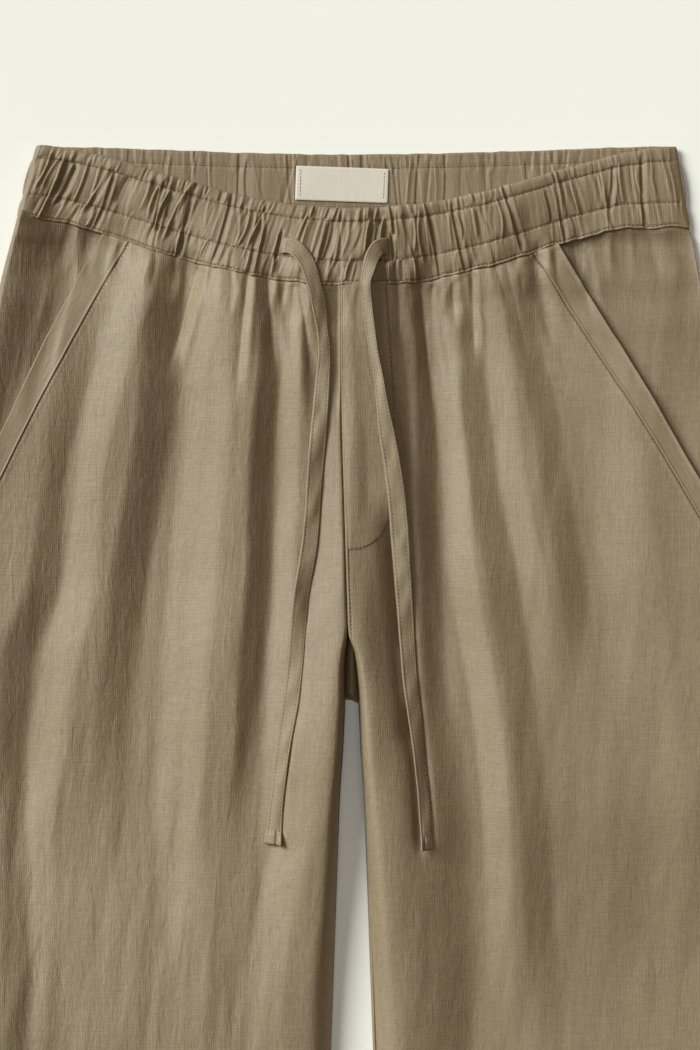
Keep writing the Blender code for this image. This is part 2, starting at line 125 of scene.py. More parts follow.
Flank = namedtuple("Flank", "rise width path")
# One side of a fold: the cloth climbs by rise towards +X, or falls if it's negative, over width to each side
# of a path. A row holds the rise, the width and then the down and x of each point, all in millimetres.
FLANKS = [
    Flank(rise / 1000, width / 1000, mm_pairs(*points))
    for rise, width, *points in (
        # the wearer's right leg, from the side seam inwards
        (-15, 14, 30, -205, 88, -211, 127, -219, 170, -232),
        (-4.5, 8, 55, -190, 88, -191, 127, -200, 170, -209),
        (2.4, 5, 55, -182, 88, -185, 127, -193, 170, -203),
        (-8, 13, 140, -178, 179, -186, 231, -192, 283, -199, 335, -219, 400, -223, 470, -220, 600, -221,
         780, -226),
        (8.5, 14, 60, -133, 88, -138, 127, -151, 179, -166, 231, -175, 283, -178, 335, -189, 400, -200, 440,
         -206, 520, -210),
        (-10.5, 14, 70, -118, 127, -123, 179, -128, 231, -136, 283, -145, 335, -152, 420, -159),
        (12, 18, 60, -93, 127, -93, 179, -94, 231, -100, 283, -103, 335, -108, 400, -113, 520, -112),
        (-8.5, 9, 85, -56, 127, -53, 179, -57, 231, -59, 283, -61, 335, -65, 387, -68, 440, -73),
        (7, 8, 70, -40, 179, -42, 283, -44, 335, -47, 400, -50, 480, -54),
        (-3.6, 5.2, 70, -32, 127, -28, 150, -27, 200, -25),
        (10, 14, 190, -12, 283, -18, 335, -23, 387, -30, 439, -37, 491, -48, 600, -60),
        # the wearer's left leg, from the middle outwards
        (-4.2, 12, 55, 19, 235, 16),
        (-5.5, 8, 55, 22, 127, 26, 179, 31, 260, 37),
        (-8, 8, 60, 43, 127, 49, 179, 50, 231, 50, 283, 51, 360, 54),
        (-16, 26, 240, 14, 283, 20, 335, 34, 387, 47, 439, 53, 491, 55, 543, 57, 800, 58),
        (8.5, 10, 65, 59, 127, 62, 179, 64, 231, 68, 283, 73, 335, 81, 387, 90, 439, 93, 535, 96),
        (1.2, 10, 260, 73, 335, 81, 387, 90, 439, 93, 560, 96),
        (-5, 12, 100, 71, 179, 80, 231, 87, 283, 98, 335, 106, 387, 113, 439, 118, 491, 122, 600, 128),
        (5, 10, 75, 89, 127, 94, 179, 101, 231, 107, 283, 118, 350, 126),
        (-5, 11, 80, 104, 127, 113, 179, 127, 231, 135, 283, 143, 335, 149),
        (6, 22, 100, 150, 179, 166, 231, 172, 283, 182, 335, 188, 460, 205),
        (-1.2, 4, 92, 2, 170, 5, 250, 8),
        (2.6, 8, 150, 12, 250, 17),
        (-3, 6, 300, 12, 335, 14, 387, 18, 425, 22),
        # below the knees, where nothing shows in the front view
        (5, 22, 640, -175, 780, -178, 1060, -175),
        (-5.5, 18, 630, -135, 780, -140, 1060, -150),
        (5, 20, 620, -100, 780, -105, 1060, -110),
        (-4.5, 16, 630, -72, 780, -74, 1060, -78),
        (6, 22, 600, 112, 780, 104, 1060, 96),
        (-5, 20, 620, 165, 780, 160, 1060, 150),
        (4, 20, 640, 200, 780, 198, 1060, 190),
    )
]

Beside = namedtuple("Beside", "height left right path")
# A narrow hollow (below 0) or swelling beside a cord: its height, the widths of its two sides, and the down
# and x of each point of its path, all in millimetres.
BESIDE_CORDS = [
    Beside(height / 1000, left / 1000, right / 1000, mm_pairs(*points))
    for height, left, right, *points in (
        (-4.2, 8, 2.2, 225, 24, 283, 28, 335, 32.5, 370, 36.5, 400, 40),
        (-3.8, 3.6, 2.2, 240, 24.9, 283, 27.8, 309, 30.3, 335, 32.6, 361, 35.6, 387, 38.8, 413, 41.7, 466,
         45),
        (1.6, 1.6, 10, 200, 31.8, 237, 36.2, 262, 38, 290, 40.5, 322, 42.8, 347, 44.7, 371, 47.6, 394, 50.2,
         418, 52.6, 466, 56),
        (1.6, 1.8, 10, 285, -23.1, 309, -26.8, 361, -32.3, 387, -36.8, 413, -40, 460, -43),
    )
]

Pocket = namedtuple("Pocket", "side opening_u opening_end seam_u seam_end")
# Where the slant opening and the band's seam leave the waistband (u) and reach the side seam (q).
POCKETS = {
    "right": Pocket(-1.0, 0.725, 0.186, 0.640, 0.215),
    "left": Pocket(1.0, 0.622, 0.206, 0.547, 0.232),
}
POCKET_CLOTH = 0.0013
FACING_DROP = 0.0036  # how far the facing lies below the front at the opening
FACING_UNDERLAP = 0.04  # how far it runs on under the front, in u

FLY_CURVE_DOWN, FLY_END_DOWN = 0.240, 0.264
FLY_INSET = 0.0012  # the fly starts this far from the centre seam
FLY_BOW = mm_pairs(85, 29.2, 130, 32.2, 175, 34.4, 215, 31.8, 245, 28.7)  # down, its width

CORD_ROUTES = {
    "drawstring_right": (
        (-0.0465, 0.0655), (-0.0400, 0.0660), (-0.0340, 0.0705), (-0.0290, 0.0775), (-0.0260, 0.0860),
        (-0.0222, 0.1000), (-0.0196, 0.1170), (-0.0178, 0.1360), (-0.0192, 0.1560), (-0.0208, 0.1790),
        (-0.0234, 0.2090), (-0.0268, 0.2550), (-0.0330, 0.2950), (-0.0372, 0.3430), (-0.0406, 0.3670),
        (-0.0445, 0.3920), (-0.0492, 0.4300), (-0.0515, 0.4540),
    ),
    "drawstring_left": (
        (0.0252, 0.0655), (0.0190, 0.0660), (0.0132, 0.0730), (0.0106, 0.0815), (0.0089, 0.0900),
        (0.0099, 0.1040), (0.0119, 0.1200), (0.0138, 0.1335), (0.0172, 0.1520), (0.0211, 0.1790),
        (0.0263, 0.2090), (0.0298, 0.2375), (0.0316, 0.2625), (0.0341, 0.2970), (0.0359, 0.3220),
        (0.0378, 0.3465), (0.0408, 0.3710), (0.0435, 0.3935), (0.0460, 0.4175), (0.0488, 0.4570),
    ),
}
CORD_WIDTH, CORD_CLOTH, CORD_LENGTH = 0.0100, 0.0012, 0.41
CORD_WIDTHS = {  # distance from the exit, width: the cords lie folded narrower in places
    "drawstring_right": mm_pairs(
        0, 10.8, 20, 10.4, 41, 9.6, 54, 9.4, 67, 7.8, 80, 8.2, 106, 10.1, 132, 11, 185, 10.4, 230, 10.7,
        311, 10.8, 338, 9.2, 368, 9, 392, 10.6, 410, 12.8,
    ),
    "drawstring_left": mm_pairs(
        0, 10.8, 16, 9.6, 40, 6.6, 80, 6.3, 108, 7.5, 135, 10.8, 190, 12.2, 216, 11.7, 263, 10.4, 316, 9.3,
        344, 8.1, 415, 7.8,
    ),
}
CORD_TILTS = {  # distance from the exit, how far the cord's +X edge is raised above its middle
    "drawstring_right": mm_pairs(0, 0, 90, 0, 130, -1, 150, -2.6, 235, -2.6, 265, -0.8, 290, 0, 410, 0),
    "drawstring_left": mm_pairs(0, 0, 30, 1.8, 220, 1.8, 270, -0.2, 300, -0.9, 340, -1.2, 410, -1.2),
}
CORD_STEP = 0.0014
CORD_STITCH = 0.66  # the cord's two stitch rows, as shares of its half width
CORD_CURLS = {"drawstring_right": 1.0, "drawstring_left": -1.0}  # the side on which each end curls up
SLIT_HALF, SLIT_WIDTH, SLIT_DEEP = 0.0085, 0.0010, 0.0030
SLIT_LEANS, SLIT_SHIFTS = (-0.22, 0.10), (-0.0012, 0.0012)

LABEL_WIDTH, LABEL_HEIGHT, LABEL_X, LABEL_DOWN, LABEL_TURN = 0.060, 0.022, -0.0065, 0.0245, -0.035
LABEL_HIGH, LABEL_CLOTH = 0.0056, 0.0006


# ---------------------------------------------------------------- curves and noise


def through(at, places, values):
    """A smooth curve through (places, values) that never overshoots, read at every number of at."""
    places, values = np.asarray(places, float), np.asarray(values, float)
    steps = np.diff(values) / np.diff(places)
    slopes = np.zeros_like(values)
    same = steps[:-1] * steps[1:] > 0
    slopes[1:-1][same] = 2 * steps[:-1][same] * steps[1:][same] / (steps[:-1] + steps[1:])[same]
    slopes[0], slopes[-1] = steps[0], steps[-1]
    at = np.clip(at, places[0], places[-1])
    i = np.clip(np.searchsorted(places, at) - 1, 0, len(places) - 2)
    width = places[i + 1] - places[i]
    t = (at - places[i]) / width
    ends = (2 * t**3 - 3 * t**2 + 1) * values[i] + (3 * t**2 - 2 * t**3) * values[i + 1]
    bends = (t**3 - 2 * t**2 + t) * slopes[i] + (t**3 - t**2) * slopes[i + 1]
    return ends + width * bends


def read(table, at):
    """A table of pairs, read at each number of at."""
    return through(at, *zip(*table))


def section(column, down):
    """One column of SECTIONS at down."""
    return through(down, [s.down for s in SECTIONS], [getattr(s, column) for s in SECTIONS])


def ease(t):
    """0 to 1 with level ends."""
    t = np.clip(t, 0.0, 1.0)
    return t * t * (3 - 2 * t)


def quarter(t):
    """The height of a quarter circle of radius 1 at t in from its rim."""
    return np.sqrt(1 - (1 - np.clip(t, 0.0, 1.0)) ** 2)


def hump(x, middle, width, power=2):
    """1 at the middle, falling to 0 on both sides over about the width: exp(-(distance / width) ** power)."""
    return np.exp(-(((x - middle) / width) ** power))


def noise(a, b, seed):
    """Smooth noise from -1 to 1: seeded values at the whole numbers of a and b, eased between them."""
    table = np.random.default_rng(seed).uniform(-1, 1, (256, 256))
    i, j = np.floor(a).astype(int), np.floor(b).astype(int)
    s, t = ease(a - i), ease(b - j)
    at = lambda di, dj: table[(i + di) % 256, (j + dj) % 256]
    return (at(0, 0) * (1 - s) + at(1, 0) * s) * (1 - t) + (at(0, 1) * (1 - s) + at(1, 1) * s) * t


# ---------------------------------------------------------------- the garment's form


def swag(u):
    """How far a waist curve dips at u: 1 at the centre and 0 at the side seams."""
    return (1 - np.clip(np.abs(u), 0.0, 1.0) ** 2) ** 1.9


def band_top(u):
    """How far down the waistband's top edge is."""
    return FRONT_DIP * swag(u)


def band_seam(u):
    """How far down the waistband's seam is."""
    return band_top(u) + BAND_SIDE + BAND_RISE * swag(u) + read(SEAM_DROPS, u)


def seam_wave(x):
    """How far the waistband's lower edge strays up and down where the gathers pull it."""
    return 0.0009 * noise(x / 0.013, 0 * x, 11) + 0.0005 * noise(x / 0.005, 0 * x, 12)


def across(side, u, down):
    """The x at u between the centre and the side seam."""
    inner = section("seam_x", down) + side * section("gap", down)
    outer = section("lean", down) + side * section("half_width", down)
    return inner + u * (outer - inner)


def u_in_band(x, down):
    """u across the whole waist: -1 and 1 at the side seams."""
    return (x - section("lean", down)) / section("half_width", down)


def x_in_band(u, down):
    return section("lean", down) + u * section("half_width", down)


def seam_below(x):
    """How far down the waistband's seam is at x."""
    down = band_seam(u_in_band(x, 0.06))
    return band_seam(u_in_band(x, down))


def ramp(z):
    """0 to 1 as z goes from -1 to 1: nearly straight in the middle, and level at both ends."""
    z = np.clip(z, -1.0, 1.0)
    return (z - z**5 / 5 + 0.8) / 1.6


def front_base(x, down):
    """The front without its folds: level in the middle, and rolled down at the side seams and the inseams.

    It gives the height, and how much of the folds shows there: 1 inside, and 0 at the rolled edges.
    """
    crown, middle = section("crown", down), section("middle", down)
    from_side = section("half_width", down) - np.abs(x - section("lean", down))
    from_middle = np.abs(x - section("seam_x", down)) - section("gap", down)
    roll = np.minimum(section("roll", down), read(SIDE_ROLLS, down))
    left_share = through(down, (0.05, 0.40), (2.2, 1.0))
    right_share = through(down, (0.05, 0.20, 0.40), (0.45, 0.55, 1.0))
    side_roll = quarter(from_side / (roll * np.where(x > 0, left_share, right_share)))
    rolls = [read(table, down) for table in (RIGHT_ROLLS, LEFT_ROLLS)]
    inwards = from_middle / np.where(x < section("seam_x", down), *rolls)
    soft = 0.6 * ease((down - 0.42) / 0.08)
    middle_roll = quarter(inwards) * (1 - soft) + (1 - (1 - np.clip(inwards, 0.0, 1.0)) ** 2) * soft
    in_legs = np.clip((crown - middle) / (crown - RIM), 0.0, 1.0)
    fall = LEG_FALL * ease((x + 0.150) / 0.125) * ease((down - 0.36) / 0.16) * (x < section("seam_x", down))
    crown = np.maximum(crown - fall, middle)
    left_fall = LEFT_FALL * (ramp((x - 0.150) / 0.110) - 0.1)
    crown = np.maximum(crown - left_fall, np.minimum(crown, RIM + 0.0012))
    height = RIM + (crown - RIM) * side_roll - (crown - middle) * (1 - middle_roll)
    return height, side_roll * (1 - in_legs * (1 - middle_roll))


def fold_rise(x, down):
    """The folds: each flank is a ramp counted from the centre line outwards, and then all are levelled."""
    total = np.zeros(np.broadcast(x, down).shape)
    level = np.zeros(np.broadcast(x, down).shape)
    reach = section("half_width", down)
    for k, flank in enumerate(FLANKS):
        first, last = flank.path[0][0], flank.path[-1][0]
        waver = 0.0012 * noise(down / 0.055, 0 * down + k, 91)
        waver = waver + 0.0004 * noise(down / 0.014, 0 * down + k, 92)
        centre = read(flank.path, down) + waver * min(1.0, flank.width / 0.008)
        slow = (30 if flank.width > 0.020 else 20) * abs(flank.rise)
        come = max(0.12 * (last - first), slow if first > 0.13 else 0.0)
        go = max(0.30 * (last - first), slow)
        fade = ease((down - first) / come + 0.5) * ease((last - down) / go + 0.3)
        outward = 1.0 if flank.path[0][1] > 0 else -1.0
        step = ramp((x - centre) / flank.width)
        total += flank.rise * fade * (step if outward > 0 else step - 1)
        level += flank.rise * fade * outward * (reach - np.abs(centre)) / (2 * reach)
    return total - 0.6 * level


Crease = namedtuple("Crease", "x top low lean bow depth left right")
# A valley that starts at x and runs from top to low, leaning by lean, bowed by bow and depth deep. left and
# right are the widths of its two sides. A depth below 0 makes it a ridge.
CREASE_UNITS = (1000, 1000, 1000, 1, 1000, 1000, 1000, 1000)


def creases_of(*rows):
    """Creases from rows in millimetres, apart from the lean, which is a slope."""
    return [Crease(*row) for row in np.array(rows) / CREASE_UNITS]


def creased(x, down, creases, spread=0.0):
    """Valleys in the cloth, each sharp along its line, with soft lips, and faded at both ends.

    spread is how much wider each is at its low end than at its top.
    """
    total = np.zeros(np.broadcast(x, down).shape)
    end, fade = (1.22, 0.55) if spread else (1.06, 0.12)
    for crease in creases:
        t = (down - crease.top) / (crease.low - crease.top)
        centre = crease.x + crease.lean * (down - crease.top) + 4 * crease.bow * t * (1 - t)
        wider = 1 + spread * np.clip(t, 0.0, 1.0)
        z = np.where(x < centre, (centre - x) / crease.left, (x - centre) / crease.right) / wider
        fold = np.exp(-(z**1.15)) - 0.30 * hump(z, 2.2, 0.9)
        total -= crease.depth * fold * ease((t + 0.06) / 0.12) * ease((end - t) / fade)
    return total


def seeded_creases(seed, spacing, depth, top, low, lean, widths=(0.0009, 0.0022), bow=0.05, either=True):
    """Creases side by side across the waist, with uneven gaps, depths, lengths and leans.

    widths are those of a steep side and a long one. The steep one is on either hand, or always on the left.
    """
    rng = np.random.default_rng(seed)
    length = low - top
    made, x = [], -WAIST_HALF
    while x < WAIST_HALF:
        x += spacing * rng.uniform(0.35, 1.75)
        sides = np.array(widths) * rng.uniform(0.8, 1.3, 2)
        made.append(
            Crease(
                x,
                top + length * rng.uniform(-0.12, 0.15),
                low + length * rng.uniform(-0.30, 0.10),
                lean(x) + rng.normal(0.0, 0.09),
                rng.uniform(-1.0, 1.0) * bow * length,
                depth * rng.uniform(0.25, 1.0) ** 1.5,
                *(rng.permutation(sides) if either else sides),
            )
        )
    return made


def beside_cords(x, down):
    """The hollows and swellings along the cords: one side of each lies beneath its cord."""
    total = np.zeros(np.broadcast(x, down).shape)
    for beside in BESIDE_CORDS:
        first, last = beside.path[0][0], beside.path[-1][0]
        away = x - read(beside.path, down)
        side = hump(away, 0.0, np.where(away < 0, beside.left, beside.right))
        total += beside.height * side * ease((down - first) / 0.03) * ease((last - down) / 0.02)
    return total


def gather_lean(x):
    """The gathers lean a little to the wearer's right on the right leg, and to the left on the left one."""
    return -0.12 + 0.22 * ease((x + 0.05) / 0.10)


GATHERS = seeded_creases(5, 0.0076, 0.0015, 0.0, 0.032, gather_lean, (0.0012, 0.0032))
MAIN_GATHERS = creases_of(  # placed one by one: broad falls that end in a sharp rise
    (-183, -1, 30, -0.3, 0, 1.8, 6, 2.4),
    (-168, -1, 24, -0.35, 0, 1.4, 5.5, 3),
    (-158, -1, 34, -0.12, 0, 0.9, 5, 2.4),
    (-99, -1, 70, -0.26, 0, 4, 14, 2.6),
    (-67, -1, 75, -0.1, 0, 3, 7.5, 2.2),
    (-54.5, -1, 55, 0.08, 0, 3.6, 6.5, 2.6),
    (-43, -1, 28, -0.15, 0, 1, 2.4, 2.4),
    (-34, -1, 70, 0.14, 0, 3.2, 6.5, 2.2),
    (-9.4, -1, 75, 0, 0, 4.6, 7.5, 0.8),
    (19, -1, 30, 0.05, 0, 1.6, 2.6, 6),
    (30, -1, 40, 0.04, 0, 1.4, 6, 2.6),
    (44.5, -1, 80, 0.1, 0, 4.2, 8, 3),
    (65, -1, 30, 0.08, 0, 1.9, 6, 2),
    (78, -1, 55, 0.04, 0, 2.8, 8.5, 1.8),
    (100, -1, 60, 0.22, 0, 1.6, 8, 4),
    (107, -1, 20, 0.2, 0, 1.2, 2.6, 2.2),
    (121, -1, 55, 0.15, 0, 2.8, 6, 2.8),
    (148, -1, 50, 0.15, 0, 2, 7, 3),
    (193, -1, 34, 0.25, 0, 1.8, 9.5, 4.5),
)


def gathers(x, down):
    """The gathers that run down from the waistband's seam, widening and fading out below it."""
    below = down - seam_below(x)
    calm = 1 - 0.8 * hump(x, 0.010, 0.012) - 0.8 * ease((np.abs(x) - 0.15) / 0.06)
    small = creased(x, below, GATHERS, spread=1.6) * np.maximum(calm, 0.1)
    return (small + creased(x, below, MAIN_GATHERS, spread=0.35)) * ease((below + 0.012) / 0.004)


def crumple(x, down):
    """Small unevenness in the linen: soft upright waves, most on the wearer's right leg."""
    right = ease((-x + 0.03) / 0.10)
    low = ease((down - 0.20) / 0.35)
    skew = x + 0.10 * down
    fine = noise(skew / 0.0050, down / 0.030, 21) * (0.00010 + 0.00022 * right * low)
    middle = noise(skew / 0.0095, down / 0.055, 25) * (0.00025 + 0.00040 * right * low)
    broad = noise(x / 0.026 + down / 0.30, down / 0.240, 22) * 0.0010
    return fine + middle + broad


def centre_seam(x, down):
    """The lapped centre seam: the join, a narrow ridge beside it and the groove of its stitches."""
    away = x - section("seam_x", down)
    ridge = 0.0007 * hump(away, 0.0011, 0.0007)
    groove = 0.0003 * hump(away, CENTRE_STITCH, 0.0006)
    join = 0.0006 * hump(away, -0.0002, 0.0006)
    return (ridge - groove - join) * ease((CENTRE_END - down) / 0.02)


def inseam_groove(x, down):
    """The groove along the wearer's left inseam, where the leg turns under."""
    from_edge = x - section("seam_x", down) - section("gap", down)
    return -0.0048 * hump(from_edge, 0.0022, 0.0010) * ease((down - 0.45) / 0.04)


def front_height(x, down, under_cords=False):
    """The top of the front's cloth, with its folds, gathers, fine creases and seams.

    under_cords leaves out the hollows beside the cords, so that the cords don't sink into them.
    """
    base, inside = front_base(x, down)
    height = base + (fold_rise(x, down) + gathers(x, down) + crumple(x, down)) * inside + centre_seam(x, down)
    return height + inseam_groove(x, down) + (0.0 if under_cords else beside_cords(x, down))


# ---------------------------------------------------------------- the gathered waistband


def band_lean(x):
    """The pleats lean down to the wearer's right, most at that side, and down to the left past the middle."""
    return -0.50 + 0.22 * ease((x + 0.23) / 0.12) + 0.46 * ease((x + 0.01) / 0.06)


ROWS = (0.0, TOP_ROW * BAND_TALL, LOW_ROW * BAND_TALL, BAND_TALL)
BAND_CREASES = [
    crease
    for seed, spacing, depth, top, low, *rest in (
        (31, 0.0046, 0.0011, ROWS[0] - 0.002, ROWS[1] + 0.001, (0.0006, 0.0018)),
        (32, 0.0074, 0.0012, ROWS[1], ROWS[2], (0.0008, 0.0036)),
        (33, 0.0070, 0.0012, ROWS[2], ROWS[3] + 0.002, (0.0008, 0.0030)),
        (42, 0.0080, -0.0018, ROWS[1] - 0.001, ROWS[2] + 0.001, (0.0005, 0.0011), 0.09, False),
        (45, 0.0094, -0.0015, ROWS[2] - 0.001, ROWS[3] + 0.002, (0.0005, 0.0011), 0.09, False),
        (46, 0.0170, -0.0020, ROWS[0] + 0.003, ROWS[3] + 0.002, (0.0005, 0.0012), 0.05, False),
        (47, 0.0092, -0.0010, ROWS[0] - 0.002, ROWS[1] + 0.001, (0.0005, 0.0009), 0.05, False),
        (34, 0.0042, 0.0006, ROWS[1] - 0.003, ROWS[1] + 0.004, (0.0008, 0.0012)),
        (35, 0.0042, 0.0007, ROWS[2] - 0.005, ROWS[2] + 0.004, (0.0008, 0.0012)),
        (36, 0.0050, 0.0006, ROWS[3] - 0.005, ROWS[3] + 0.002, (0.0008, 0.0014)),
    )
    for crease in seeded_creases(seed, spacing, depth, top, low, band_lean, *rest)
]
BROAD_CREASES = seeded_creases(37, 0.0150, 0.0017, ROWS[1] - 0.001, ROWS[2], band_lean, (0.0018, 0.0056))
DEEP_CREASES = creases_of(  # placed one by one: they cross the stitch rows
    (-180, 10, 38, -0.45, 1, 2.4, 1.4, 1.6),
    (-154, 8, 51, -0.34, 1.2, 1.8, 1.6, 1.2),
    (-121, 4, 34, -0.22, -0.8, 2, 1.3, 1.6),
    (-104, 6, 51, -0.22, 0.8, 2.2, 1.4, 1.4),
    (-78, 2, 47, -0.27, 1, 1.6, 1.3, 1.4),
    (-56, 4, 51, -0.24, -0.8, 2, 1.2, 1.5),
    (-12, 9, 34, -0.25, 1.2, 1.3, 1.5, 2),
    (24.6, -2, 20, 0.12, 0.4, 3, 1, 1),
    (50, 9, 51, 0.18, 0.6, 2, 1.2, 1.4),
    (65, 4, 51, 0.2, -0.6, 1.8, 1.3, 1.3),
    (98, 0, 46, 0.28, 0.4, 2.4, 1.4, 1.5),
    (126, 12, 34, 0.2, 0.6, 1.3, 1.4, 1.8),
    (136, 30, 51, 0.16, 0.4, 2, 1.4, 1.2),
    (170, 8, 34, -0.1, 1, 1.6, 2, 1.6),
    (189, 4, 51, 0.05, -0.8, 1.5, 1.4, 1.6),
)
DEEP_RIDGES = [
    crease._replace(x=crease.x - 0.0017, depth=-0.55 * crease.depth, left=0.0005, right=0.0009)
    for crease in DEEP_CREASES
]


def band_relief(x, v):
    """The gathered face above its plain form: three swelling tunnels of pleats, pinched at the stitch rows.

    The creases are calmed at CALM_PLACES and near the wearer's left side seam. Beside the left cord's slit
    the cloth sinks in a hollow that ends in a cliff.
    """
    s = v * BAND_TALL
    swell = np.zeros(np.broadcast(x, v).shape)
    for top, low, high in zip(ROWS[:-1], ROWS[1:], (0.0004, 0.0010, 0.0003)):
        t = np.clip((s - top) / (low - top), 0.0, 1.0)
        swell += high * (4 * t * (1 - t)) ** 0.7 * (1 + 0.5 * noise(x / 0.012, 0 * x + top * 900, 38))
    calm = 1 - 0.75 * sum(hump(x, place_x, 0.011, 4) for place_x in CALM_PLACES)
    calm = calm * (1 - 0.55 * ease((x - 0.132) / 0.02)) * (0.95 + 0.45 * noise(x / 0.020, 0 * x, 40))
    broad = creased(x, s, BROAD_CREASES) * np.where(x < 0, 1.0, 0.45) * ease((np.abs(x) - 0.125) / 0.02)
    deep = 0.8 * (creased(x, s, DEEP_CREASES) + creased(x, s, DEEP_RIDGES))
    cliff = 0.0236 + 0.0060 * v
    hollow = 0.0036 * ease((x - 0.007) / 0.016) * ease((cliff - x) / 0.0016 + 0.5)
    hollow = hollow * ease((v + 0.10) / 0.20) * ease((0.74 - v) / 0.10)
    facets = 0.0011 * noise(x / 0.030, v * 1.3, 39)
    facets = facets + 0.0006 * noise((x - band_lean(x) * s) / 0.0085, v * 1.8, 44)
    return swell + creased(x, s, BAND_CREASES) * calm + deep + broad - hollow + facets


def row_groove(v):
    """The stitch rows press narrow grooves into the waistband."""
    return sum(hump(v, row, 0.016) for row in (TOP_ROW, LOW_ROW))


def band_height(x, v, down):
    """The top of the waistband's front, which takes on the panel's folds as it nears their seam."""
    base, _ = front_base(x, down)
    ends = quarter((1 - np.abs(u_in_band(x, down))) * 12)
    slits = 0.0
    for route, lean, shift in zip(CORD_ROUTES.values(), SLIT_LEANS, SLIT_SHIFTS):
        exit_x, exit_down = route[0]
        away = x - exit_x - shift - lean * (down - exit_down)
        slits = slits + hump(away, 0.0, SLIT_WIDTH, 4) * hump(down, exit_down, SLIT_HALF, 8)
    seam = seam_below(x)
    broad = fold_rise(x, seam + 0.001)
    below = front_height(x, seam + 0.001) - front_base(x, seam + 0.001)[0] - broad
    near = ease((v - 0.80) / 0.24)
    face = band_relief(x, v) * (1 - 0.55 * near) + below * near + broad * v**1.3 - 0.0004 * row_groove(v)
    edge = (1 - v) * BAND_TALL
    roll = 0.0006 * hump(edge, 0.0010, 0.0006) - 0.0004 * hump(edge, 0.0023, 0.0006)
    return base + (BAND_PROUD + face + roll) * ends - SLIT_DEEP * slits


# ---------------------------------------------------------------- meshes


TINY = 1e-12
EDGE_PUSH = 0.45  # the edge of a wall stands out by this much of its thickness


def place(x, down, height):
    """Points from x, down and the height."""
    return np.stack(np.broadcast_arrays(x, TOP_Y - down, height), axis=-1)


def normals_of(grid):
    """Unit normals of a grid of points: the cross product of its two directions, turned up."""
    normal = np.cross(np.gradient(grid, axis=1), np.gradient(grid, axis=0))
    normal /= np.maximum(np.linalg.norm(normal, axis=2)[..., None], TINY)
    return normal * np.where(np.median(normal[..., 2]) < 0, -1.0, 1.0)


def border(rows, columns):
    """Indices of a grid's border, once round."""
    index = np.arange(rows * columns).reshape(rows, columns)
    return np.concatenate([index[0, :-1], index[:-1, -1], index[-1, :0:-1], index[:0:-1, 0]])


def add_mesh(name, points, faces, finish, uv=None):
    """A smooth-shaded object at the origin from arrays of points and quads."""
    mesh = bpy.data.meshes.new(name)
    mesh.vertices.add(len(points))
    mesh.vertices.foreach_set("co", points.astype(np.float32).ravel())
    mesh.loops.add(faces.size)
    mesh.loops.foreach_set("vertex_index", faces.astype(np.int32).ravel())
    mesh.polygons.add(len(faces))
    mesh.polygons.foreach_set("loop_start", np.arange(0, faces.size, 4, dtype=np.int32))
    mesh.update(calc_edges=True)
    mesh.validate()
    if uv is not None:
        layer = mesh.uv_layers.new(name="cloth")
        layer.uv.foreach_set("vector", uv[faces.ravel()].astype(np.float32).ravel())
    mesh.shade_smooth()
    mesh.materials.append(finish)
    made = bpy.data.objects.new(name, mesh)
    bpy.context.scene.collection.objects.link(made)
    return made


def shell(name, outer, thickness, finish, uv=None, inner=None):
    """A thin closed wall: a grid of outer points, an inner grid, and an edge pushed out between the two.

    Unless it is given, the inner grid is the outer one moved in along its normals by the thickness.
    """
    rows, columns = outer.shape[:2]
    inner = outer - thickness * normals_of(outer) if inner is None else inner
    ring = border(rows, columns)
    top, low = outer.reshape(-1, 3), inner.reshape(-1, 3)
    r, c = np.divmod(ring, columns)
    within = top[np.clip(r, 1, rows - 2) * columns + np.clip(c, 1, columns - 2)]
    away = top[ring] - within
    away /= np.maximum(np.linalg.norm(away, axis=1)[:, None], TINY)
    middle = (top[ring] + low[ring]) / 2 + away * thickness * EDGE_PUSH
    count = rows * columns
    index = np.arange(count).reshape(rows, columns)
    quads = np.stack([index[:-1, :-1], index[:-1, 1:], index[1:, 1:], index[1:, :-1]], axis=-1)
    quads = quads.reshape(-1, 4)
    after = np.roll(np.arange(len(ring)), -1)
    edge = 2 * count + np.arange(len(ring))
    upper = np.stack([ring, edge, edge[after], ring[after]], axis=1)
    lower = np.stack([edge, count + ring, count + ring[after], edge[after]], axis=1)
    faces = np.concatenate([quads, quads[:, ::-1] + count, upper, lower])
    points = np.concatenate([top, low, middle])
    corners = points[faces]
    volume = np.einsum("ij,ij->i", corners[:, 0], np.cross(corners[:, 1], corners[:, 2])).sum()
    volume += np.einsum("ij,ij->i", corners[:, 0], np.cross(corners[:, 2], corners[:, 3])).sum()
    if volume < 0:
        faces = faces[:, ::-1]
    if uv is not None:
        flat = uv.reshape(-1, 2)
        uv = np.concatenate([flat, flat, flat[ring]])
    return add_mesh(name, points, faces, finish, uv)


def distances(points):
    """How far along a path of points each of them is."""
    return np.concatenate([[0.0], np.cumsum(np.linalg.norm(np.diff(points, axis=0), axis=1))])


def cloth_uv(grid):
    """UVs in metres along the cloth: the distance along the first row, and that down the middle column."""
    middle = grid[:, grid.shape[1] // 2]
    return np.stack(np.meshgrid(distances(grid[0]), distances(middle)), axis=-1)


def rolled_columns(count, share=0.12, in_roll=10):
    """Places from 0 to 1 that crowd together in the rolls at both ends."""
    turn = np.linspace(0.0, np.pi / 2, in_roll + 1)[:-1]
    start = share * (1 - np.cos(turn))
    return np.concatenate([start, np.linspace(share, 1 - share, count - 2 * in_roll), 1 - start[::-1]])


# ---------------------------------------------------------------- materials


